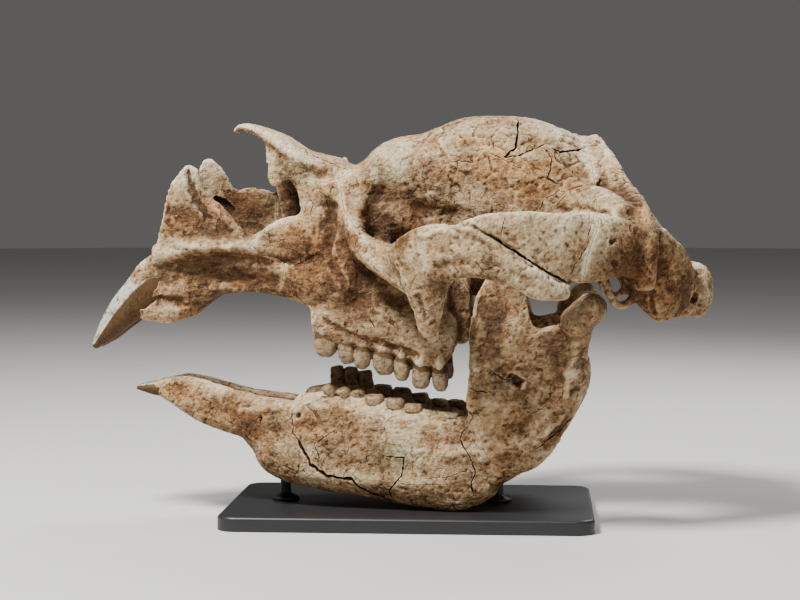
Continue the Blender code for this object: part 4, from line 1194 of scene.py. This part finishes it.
def bone_material(name, tones, rust, cool):
    """Dry fossil bone. Relief, painted occlusion shade and painted spots set how light it is on the scale of
    tones; hollows and undersides are painted darker, tops and ridges paler.
    """
    nodes = Nodes(name)
    arch = nodes.attribute("arch")
    ragged = nodes.noise(20, 6, 0.72, distortion=0.3)
    blotches = nodes.noise(17, 6, 0.7, distortion=0.2)
    mottle = nodes.noise(5, 4, 0.65)
    grain = nodes.noise(2.0, 3, 0.62)
    fibre = nodes.noise(5, 5, 0.72, stretch=(0.22, 1, 0.75), distortion=0.6)
    pore_field = nodes.range(nodes.noise(26, 3, 0.5), 0.50, 0.62)
    pore = nodes.math("MULTIPLY", nodes.range(nodes.cells(4.5), 0.26, 0.10), pore_field)
    hair = nodes.math("MULTIPLY", nodes.range(nodes.cells(36, "DISTANCE_TO_EDGE", sway=0.5), 0.020, 0.005),
                      nodes.range(nodes.noise(60, 4, 0.6), 0.50, 0.58))

    # Relief paints the hollows darker as shade, and the ridges paler, partly as worn edges and partly as a
    # painted highlight.
    tone = nodes.total(
        0.36, (nodes.noise(70, 5, 0.6, distortion=0.4), 1.3), (blotches, 0.6), (mottle, 0.3), (grain, 0.4),
        (fibre, 0.6), (nodes.attribute("broad_relief"), 0.40), (nodes.attribute("fine_relief"), 0.60))
    # Painted light on tops and sheen spots, and painted shade in hollows and on undersides.
    tone = nodes.sum(tone, (nodes.attribute("pale"), 0.22), (nodes.attribute("gloom"), -0.23),
                     (nodes.attribute("shelter"), -0.22))
    least = nodes.total(0.10, (fibre, 0.8), (mottle, 0.4), (grain, 0.4))
    tone = nodes.math("SMOOTH_MAX", tone, least, 0.08)
    tone = nodes.sum(tone, (pore, -0.18), (hair, -0.25), (nodes.attribute("broken"), -0.55))
    colour = nodes.ramp(tone, *zip(TONE_STOPS, tones))
    # Iron stains, and a painted shade that darkens and warms the undersides; on the cheek arches less of
    # both.
    rust_and_underside_shade_amount = nodes.math("MULTIPLY", patch(nodes, "rust", ragged), 0.75)
    rust_and_underside_shade_amount = nodes.math("MAXIMUM", rust_and_underside_shade_amount,
                       nodes.range(nodes.noise(40, 5, 0.65, distortion=0.6), 0.52, 0.64, 0.0, 0.6))
    rust_and_underside_shade_amount = nodes.math("MULTIPLY", rust_and_underside_shade_amount, nodes.range(arch, 0.0, 1.0, 1.0, 0.3))
    colour = nodes.mix(rust_and_underside_shade_amount, colour, rust, "MULTIPLY")
    # Blue-grey patches, partly a painted bluish sheen, and the greyer cheek arches.
    grey = nodes.math("MAXIMUM", patch(nodes, "cool", ragged),
                      nodes.range(nodes.noise(30, 5, 0.65), 0.55, 0.66, 0.0, 0.5))
    grey = nodes.math("MAXIMUM", grey, nodes.math("MULTIPLY", arch, 0.35))
    colour = nodes.mix(nodes.math("MULTIPLY", grey, 0.8), colour, cool, "MULTIPLY")

    height = nodes.total(0.5, (grain, 1.0), (mottle, 1.4), (fibre, 1.2), (blotches, 1.5))
    height = nodes.sum(height, (pore, -0.6), (hair, -0.8))
    normal = nodes.bump(height, 2.0, nodes.range(arch, 0.0, 1.0, 0.95, 0.55))
    roughness = nodes.range(tone, 0.2, 0.8, 0.68, 0.48)
    return nodes.finish(Base_Color=colour, Roughness=roughness, Specular_IOR_Level=0.22, Normal=normal)


def tooth_material(name, bright, enamel, dentine, dark):
    """Enamel where the attribute "enamel" says so, stained dentine elsewhere, both with fine cracks, and
    painted shade where the teeth are closed in and in the creases between them.
    """
    nodes = Nodes(name)
    mottle = nodes.noise(6, 5, 0.65)
    fine = nodes.noise(1.3, 3, 0.6)
    shine = nodes.range(nodes.sum(nodes.attribute("enamel"), (mottle, 0.7)), 0.62, 1.05)
    colour = nodes.mix(nodes.range(mottle, 0.36, 0.64), tuple(0.55 * c for c in dentine), dentine)
    colour = nodes.mix(shine, colour, enamel)
    colour = nodes.mix(nodes.range(nodes.attribute("bright"), 0.35, 0.65), colour, bright)
    colour = nodes.mix(nodes.range(mottle, 0.50, 0.38, 0.0, 0.7), colour, dentine)
    # Painted shade where the teeth are closed in and in the creases between them.
    colour = nodes.mix(nodes.range(nodes.attribute("shelter"), 0.35, 1.0, 0.0, 0.4), colour, dark)
    colour = nodes.mix(nodes.range(nodes.attribute("fine_relief"), 0.48, 0.2, 0.0, 0.9), colour, dark)
    colour = nodes.mix(nodes.range(fine, 0.42, 0.3, 0.0, 0.5), colour, dark)
    craze = nodes.math("MULTIPLY", nodes.range(nodes.cells(11, "DISTANCE_TO_EDGE", sway=0.4), 0.06, 0.02),
                       nodes.range(nodes.noise(16, 3, 0.5), 0.45, 0.58))
    colour = nodes.mix(nodes.math("MULTIPLY", craze, 0.7), colour, dark)
    height = nodes.sum(nodes.math("MULTIPLY", fine, 0.6), (craze, -0.8))
    normal = nodes.bump(height, 0.5, 0.7)
    roughness = nodes.range(shine, 0.0, 1.0, 0.6, 0.36)
    gloss = nodes.range(shine, 0.0, 1.0, 0.12, 0.35)
    return nodes.finish(Base_Color=colour, Roughness=roughness, Specular_IOR_Level=gloss, Normal=normal)


def plain_material(name, colour, roughness, specks=0.0):
    """One colour all over, with specks for a slightly rough paint."""
    nodes = Nodes(name)
    if specks:
        nodes.finish(Normal=nodes.bump(nodes.noise(0.9, 2, 0.5), 0.05, specks))
    return nodes.finish(Base_Color=tuple(colour), Roughness=roughness)


# ---------------------------------------------------------------- settings

def colour_setting(name, description, default):
    """A colour that the user may change."""
    return FloatVectorProperty(name=name, description=description, default=default, subtype="COLOR",
                               size=3, min=0, max=1)


def length_setting(name, description, millimetres):
    """A length that the user may change."""
    return FloatProperty(name=name, description=description, default=millimetres * MM, min=0.0001,
                         unit="LENGTH", subtype="DISTANCE", precision=4)


class SkullSizes(bpy.types.PropertyGroup):
    """Fineness of the skins and depth of the weathering."""
    cranium_grain: length_setting("Cranium grain", "Edge length of the fine skin of the cranium", 2.0)
    jaw_grain: length_setting("Jaw grain", "Edge length of the fine skin of the lower jaw", 1.9)
    tooth_grain: length_setting("Tooth grain", "Edge length of the fine skin of the teeth", 0.9)
    fillet: length_setting("Fillet", "Radius of the hollows where forms meet", 5.0)
    suture: length_setting("Suture", "Width of the sutures between the bones", 0.5)
    clearance: length_setting("Clearance", "Gap round each incisor's root and round the rods", 0.3)
    swells: length_setting("Swells", "Height of the broad unevenness of the bone", 1.3)
    erosion: length_setting("Erosion", "Depth of the small weathered dents", 0.9)
    flakes: length_setting("Flakes", "Height of the loose plates of the surface", 1.0)


class SkullColours(bpy.types.PropertyGroup):
    """Colours of the bone, the teeth, the stand and the floor."""
    cream: colour_setting("Cream bone", "Worn edges and fresh bone", (0.82, 0.70, 0.49))
    pale: colour_setting("Pale bone", "Ridges and smooth faces", (0.60, 0.46, 0.28))
    # Painted light on tops and ridges, and painted sheen, lighten the bone towards this colour.
    middle: colour_setting("Brown bone", "Most of the bone", (0.36, 0.235, 0.12))
    # Painted shade of undersides and hollows darkens the bone towards this colour.
    brown: colour_setting("Dark brown bone", "Undersides and hollows", (0.165, 0.085, 0.035))
    dark: colour_setting("Dark bone", "Pores and cracks", (0.045, 0.021, 0.008))
    # Multiplies the iron stains and the painted shade of the undersides.
    rust: colour_setting("Rusty tint", "Multiplies the iron-stained patches", (1.0, 0.74, 0.50))
    # Multiplies the blue-grey patches and the painted bluish sheen.
    cool: colour_setting("Grey tint", "Multiplies the blue-grey patches", (0.80, 0.96, 1.0))
    bright: colour_setting("Bright enamel", "Front faces of the great incisors", (0.47, 0.47, 0.385))
    enamel: colour_setting("Enamel", "Outer face of the teeth", (0.28, 0.195, 0.105))
    dentine: colour_setting("Dentine", "Roots and worn faces of the teeth", (0.105, 0.056, 0.023))
    paint: colour_setting("Stand paint", "Base and rods", (0.018, 0.018, 0.019))
    floor: colour_setting("Floor", "Ground and surroundings", (0.62, 0.61, 0.59))


def chosen(*names):
    """The user's colours of these names."""
    return [tuple(getattr(bpy.context.scene.skull_colours, name)) for name in names]


def bone_finish():
    """The material that all bones share."""
    name = "weathered bone"
    return bpy.data.materials.get(name) or bone_material(
        name, chosen("dark", "brown", "middle", "pale", "cream"), *chosen("rust", "cool"))


def tooth_finish():
    """The material that all teeth share."""
    name = "enamel and dentine"
    return bpy.data.materials.get(name) or tooth_material(
        name, *chosen("bright", "enamel", "dentine", "dark"))


# ---------------------------------------------------------------- putting pieces in place

EDGE_ROOM = 0.0002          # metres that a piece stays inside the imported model's box
EDGE_KNEE = 0.003           # metres over which it is eased in
SHARP_ANGLE = 50            # degrees past which an edge isn't shaded smooth
STAND_SLOT = "stand"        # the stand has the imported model's own size, and needs no easing


def hold_inside(mesh):
    """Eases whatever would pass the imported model's box back inside it."""
    points = read_points(mesh)
    for axis in range(3):
        for way, limit in ((-1, CAD_BOX[0][axis]), (1, CAD_BOX[1][axis])):
            over = way * (points[:, axis] - limit) + EDGE_ROOM + EDGE_KNEE
            eased = np.where(over > 0, EDGE_KNEE * (1 - np.exp(-np.maximum(over, 0) / EDGE_KNEE)), over)
            points[:, axis] += way * (eased - over)
    write_points(mesh, points)


def place_piece(name, mesh, material, slot, *nodes):
    """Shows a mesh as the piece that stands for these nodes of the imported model."""
    if slot != STAND_SLOT:
        hold_inside(mesh)
    mesh.materials.clear()
    mesh.materials.append(material)
    mesh.shade_smooth()
    mesh.set_sharp_from_angle(angle=math.radians(SHARP_ANGLE))
    obj = new_object(name, mesh)
    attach(obj, BODY)
    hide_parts(*nodes)
    return obj


def finish_bones(bones, cracks, arch_cracks=()):
    """Cracks, paints and places the bones, given as {node: mesh}."""
    for name, mesh in bones.items():
        bones[name] = cracked(mesh, arch_cracks if name.startswith(CHEEK_BONES) else cracks)
    for mesh in bones.values():
        paint_relief(mesh)
        paint_stains(mesh)
    paint_occlusion_shade(list(bones.values()))
    for name, mesh in bones.items():
        slot = "cheek_bone" if name.startswith(CHEEK_BONES) else "bone"
        place_piece(name + "_bone", mesh, bone_finish(), slot, name)


# ---------------------------------------------------------------- stand

JAW_ROD_TOP = 84            # in the skull's own frame
ROD_RADIUS = 7
ROD_SIDES = 48
ROD_EDGE = 1
FOOT_RADIUS = 18
FOOT_HEIGHT = 4
FOOT_EDGE = 0.8
NECK_HEIGHT = 9.5           # where the foot has narrowed to the rod
NECK_FLARE = (0.5, 0.7)     # last step of that, outwards and upwards
BASE_CORNER = 25
BASE_BEVEL = 4


def turned(profile, centre, name):
    """A solid turned about the upright line through centre, from a profile of (radius, height) in metres."""
    bm = bmesh.new()
    verts = [bm.verts.new((radius, 0, z)) for radius, z in profile]
    edges = [bm.edges.new(pair) for pair in zip(verts, verts[1:])]
    bmesh.ops.spin(bm, geom=verts + edges, axis=(0, 0, 1), cent=(0, 0, 0), angle=math.tau,
                   steps=ROD_SIDES, use_merge=True)
    bmesh.ops.remove_doubles(bm, verts=bm.verts, dist=0.00001)
    bmesh.ops.recalc_face_normals(bm, faces=bm.faces)
    bmesh.ops.translate(bm, verts=bm.verts, vec=(centre.x, centre.y, 0))
    return mesh_of(bm, name)


def rod(name):
    """A stand rod with its round, softly turned foot, from the base plate up into the bone."""
    low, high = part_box(name)
    top = (high.z - low.z) / MM
    out, up = NECK_FLARE
    profile = [(0, 0), (FOOT_RADIUS - FOOT_EDGE, 0), (FOOT_RADIUS, FOOT_EDGE),
               (FOOT_RADIUS, FOOT_HEIGHT - FOOT_EDGE), (FOOT_RADIUS - FOOT_EDGE, FOOT_HEIGHT),
               (ROD_RADIUS + out, NECK_HEIGHT - up), (ROD_RADIUS, NECK_HEIGHT),
               (ROD_RADIUS, top - ROD_EDGE), (ROD_RADIUS - ROD_EDGE, top), (0, top)]
    profile = [(radius * MM, low.z + height * MM) for radius, height in profile]
    return turned(profile, (low + high) / 2, name)


def base_plate():
    """The flat base, with round corners and a softened upper edge."""
    low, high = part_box("stand_base")
    bm = bmesh.new()
    place = Matrix.Translation((low + high) / 2) @ Matrix.Diagonal((*(high - low), 1))
    bmesh.ops.create_cube(bm, size=1, matrix=place)
    middle = (low.z + high.z) / 2
    upright = [edge for edge in bm.edges if (edge.verts[0].co.z - middle) * (edge.verts[1].co.z - middle) < 0]
    bmesh.ops.bevel(bm, geom=upright, offset=BASE_CORNER * MM, segments=16, profile=0.5,
                    affect="EDGES", material=-1)
    rim = [edge for edge in bm.edges if min(vert.co.z for vert in edge.verts) > middle]
    bmesh.ops.bevel(bm, geom=rim, offset=BASE_BEVEL * MM, segments=6, profile=0.5,
                    affect="EDGES", material=-1)
    return mesh_of(bm, "stand_base")


# ---------------------------------------------------------------- cutters

def rod_hole(name, top):
    """The bore that a rod needs in a bone, with its clearance."""
    low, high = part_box(name)
    clearance = bpy.context.scene.skull_sizes.clearance
    radius, end = ROD_RADIUS * MM + clearance, top * MM + SHIFT.z + clearance
    return turned([(0, low.z), (radius, low.z), (radius, end), (0, end)], (low + high) / 2, "bore")


def root_cutter(level, side):
    """The socket that an incisor needs in a bone, with its clearance."""
    return incisor(level, side, bpy.context.scene.skull_sizes.clearance / MM)


def wall_from_above(wall, side=RIGHT):
    """A cutting wall whose route is seen from above, on one side or along the midline."""
    route, span = wall
    return curtain([(x, y * side) for x, y in route], *span, upright=True)


# ---------------------------------------------------------------- stage

CAMERA_ANGLES = (4, 3)      # degrees towards the tail and above level
CAMERA_DISTANCE = 2.5       # metres
CAMERA_AIM = 284            # height in the skull's own frame
CAMERA_LENS = 86.5
FLOOR_RADIUS = 14           # metres
FLOOR_DROP = 0.0005         # metres below the base, so that the two faces don't flicker
SURROUNDINGS = 0.18         # strength of the light from all round
LAMPS = [                   # name, place, size, power in watts
    ("key", (-1.2, -1.3, 2.7), 0.7, 225),
    ("fill", (2.4, -2.2, 0.9), 2.0, 8),
    ("rim", (1.0, 1.6, 1.9), 1.0, 45),
]


def aimed(name, data, place, way):
    """A lamp or camera at a place, looking along way."""
    obj = new_object(name, data)
    obj.location = place
    obj.rotation_euler = way.to_track_quat("-Z", "Y").to_euler()
    return obj


# ---------------------------------------------------------------- operators

BONE_SMOOTHING = 7



class AddCranium(bpy.types.Operator):
    """Adds the bones of the cranium: snout, face, braincase, cheek arches and back of the skull."""
    bl_idname = "skull.add_cranium"
    bl_label = "Cranium"

    def execute(self, context):
        sizes = context.scene.skull_sizes
        mesh = fused("cranium", cranium, sizes.cranium_grain, BONE_SMOOTHING, sizes.fillet)
        mesh = sculpted(mesh, CRANIUM_FEATURES, seed=11)
        # three rounds, because walls that meet can't be cut together
        first = [curtain(wavy(route), -REACH, REACH) for route in (PREMAXILLA_SUTURE, OCCIPUT_SUTURE)]
        second = [curtain(wavy(NASAL_SUTURE), -REACH, REACH)]
        third = [curtain(wavy(FACE_SUTURE), -FACE_REACH, FACE_REACH)]
        for side in BOTH:
            first.append(wall_from_above(JUGAL_ROOT, side))
            second.append(curtain(wavy(ARCH_SUTURE), *sorted((side * ARCH_INSIDE, side * REACH))))
            second.append(wall_from_above(SQUAMOSAL_ROOT, side))
        hollow = bmesh.new()
        limb(hollow, PLATE_HOLLOW, RIGHT)
        first.append(placed_mesh(hollow, "hollow"))
        for cutters in (first, second, third):
            mesh = cut(mesh, joined(cutters))
        bones = {bone_name(middle): shell for middle, shell in shells_of(mesh)}
        roots = [root_cutter("upper", side) for side in BOTH]
        bones["premaxilla"] = cut(bones["premaxilla"], joined(roots))
        bones["braincase"] = cut(bones["braincase"], rod_hole("stand_cranium_rod", ROD_TOP))
        finish_bones(bones, both_sides(CRANIUM_CRACKS), both_sides(ARCH_CRACKS))
        return {"FINISHED"}


class AddJaw(bpy.types.Operator):
    """Adds the two halves of the lower jaw."""
    bl_idname = "skull.add_jaw"
    bl_label = "Lower jaw"

    def execute(self, context):
        sizes = context.scene.skull_sizes
        mesh = fused("jaw", jaw, sizes.jaw_grain, BONE_SMOOTHING, sizes.fillet)
        mesh = cut(sculpted(mesh, JAW_FEATURES, seed=23), wall_from_above(CHIN_SUTURE))
        bones = {bone_name(middle): shell for middle, shell in shells_of(mesh)}
        for side in BOTH:
            name = "dentary_" + SIDE_NAMES[side]
            cutters = [root_cutter("lower", side), rod_hole("stand_jaw_rod", JAW_ROD_TOP)]
            bones[name] = cut(bones[name], joined(cutters))
        finish_bones(bones, both_sides(JAW_CRACKS))
        return {"FINISHED"}


class AddIncisors(bpy.types.Operator):
    """Adds the four great incisors, with enamel on their front faces."""
    bl_idname = "skull.add_incisors"
    bl_label = "Incisors"

    def execute(self, context):
        grain = context.scene.skull_sizes.tooth_grain
        made = {}
        for level in INCISORS:
            for side in BOTH:
                name = "incisor_" + level + "_" + SIDE_NAMES[side]
                obj = new_object(name, incisor(level, side))
                remesh = obj.modifiers.new("fuse", "REMESH")
                remesh.mode = "VOXEL"
                remesh.voxel_size = grain
                mesh = made[name] = evaluated_mesh(obj)
                front = incisor_enamel(skull_points(mesh), level)
                worn(mesh, *INCISOR_WEAR, seed=3)
                paint_tooth(mesh, front, front)
        paint_occlusion_shade(list(made.values()))
        for name, mesh in made.items():
            place_piece(name + "_tooth", mesh, tooth_finish(), "tooth", name)
        return {"FINISHED"}


class AddCheekTeeth(bpy.types.Operator):
    """Adds the rows of cheek teeth, rooted in the maxilla and in the lower jaw."""
    bl_idname = "skull.add_cheek_teeth"
    bl_label = "Cheek teeth"

    def execute(self, context):
        grain = context.scene.skull_sizes.tooth_grain
        made = []
        for side in BOTH:
            side_name = SIDE_NAMES[side]
            rows = (("upper_teeth_", upper_crowns, upper_enamel, "maxilla"),
                    ("lower_teeth_", lower_crowns, lower_enamel, "dentary_" + side_name))
            for row, build, enamel, bone in rows:
                mesh = fused(row + side_name, lambda bm: build(bm, side), grain, TOOTH_SMOOTHING)
                points = worn(mesh, *CHEEK_WEAR, seed=7)
                paint_tooth(mesh, enamel(points), np.zeros(len(points)))
                made.append((row + side_name, mesh, bone))
        paint_occlusion_shade([mesh for _, mesh, _ in made])
        for name, mesh, bone in made:
            place_piece(name, mesh, tooth_finish(), "tooth", bone)
        return {"FINISHED"}


class AddStand(bpy.types.Operator):
    """Adds the flat base and the two rods that hold the skull and the jaw."""
    bl_idname = "skull.add_stand"
    bl_label = "Display stand"

    def execute(self, context):
        paint_finish = plain_material("stand paint", context.scene.skull_colours.paint, 0.42, specks=0.3)
        place_piece("stand_base_plate", base_plate(), paint_finish, STAND_SLOT, "stand_base")
        for name in ("stand_cranium_rod", "stand_jaw_rod"):
            place_piece(name + "_turned", rod(name), paint_finish, STAND_SLOT, name)
        return {"FINISHED"}


class AddStage(bpy.types.Operator):
    """Adds the floor, the soft lights, the pale surroundings and the camera."""
    bl_idname = "skull.add_stage"
    bl_label = "Stage"

    def execute(self, context):
        scene = context.scene
        tone = tuple(scene.skull_colours.floor)
        bm = bmesh.new()
        bmesh.ops.create_circle(bm, cap_ends=True, segments=96, radius=FLOOR_RADIUS)
        floor = new_object("floor", mesh_of(bm, "floor"))
        floor.data.materials.append(plain_material("floor", tone, 0.9))
        floor.location.z = -FLOOR_DROP

        world = bpy.data.worlds.new("surroundings")
        world.use_nodes = True
        background = world.node_tree.nodes["Background"]
        background.inputs["Color"].default_value = (*tone, 1)
        background.inputs["Strength"].default_value = SURROUNDINGS
        scene.world = world

        middle = (CAD_BOX[0] + CAD_BOX[1]) / 2
        for name, place, size, power in LAMPS:
            lamp = bpy.data.lights.new(name, "AREA")
            lamp.size = size
            lamp.energy = power
            aimed(name, lamp, place, middle - Vector(place))

        around, up = map(math.radians, CAMERA_ANGLES)
        back = Vector((math.sin(around) * math.cos(up), -math.cos(around) * math.cos(up), math.sin(up)))
        aim = Vector((0, 0, CAMERA_AIM * MM)) + SHIFT
        camera = bpy.data.cameras.new("camera")
        camera.lens = CAMERA_LENS
        scene.camera = aimed("camera", camera, aim + back * CAMERA_DISTANCE, -back)
        return {"FINISHED"}


class SkullPanel(bpy.types.Panel):
    """Lists the pieces to add, and their sizes and colours."""
    bl_idname = "VIEW3D_PT_skull"
    bl_label = "Diprotodon skull"
    bl_space_type = "VIEW_3D"
    bl_region_type = "UI"
    bl_category = "Skull"

    def draw(self, context):
        column = self.layout.column()
        for operator in OPERATORS:
            column.operator(operator.bl_idname)
        for group in (context.scene.skull_sizes, context.scene.skull_colours):
            column.separator()
            for name in group.__annotations__:
                column.prop(group, name)


OPERATORS = (AddCranium, AddJaw, AddIncisors, AddCheekTeeth, AddStand, AddStage)
CLASSES = (SkullSizes, SkullColours, *OPERATORS, SkullPanel)


def register():
    """Adds the classes and the scene's settings."""
    for cls in CLASSES:
        bpy.utils.register_class(cls)
    bpy.types.Scene.skull_sizes = PointerProperty(type=SkullSizes)
    bpy.types.Scene.skull_colours = PointerProperty(type=SkullColours)


def unregister():
    """Takes them away again."""
    del bpy.types.Scene.skull_colours
    del bpy.types.Scene.skull_sizes
    for cls in reversed(CLASSES):
        bpy.utils.unregister_class(cls)


def main():
    """Builds everything."""
    register()
    for operator in OPERATORS:
        group, name = operator.bl_idname.split(".")
        getattr(getattr(bpy.ops, group), name)()


if __name__ == "__main__":
    main()
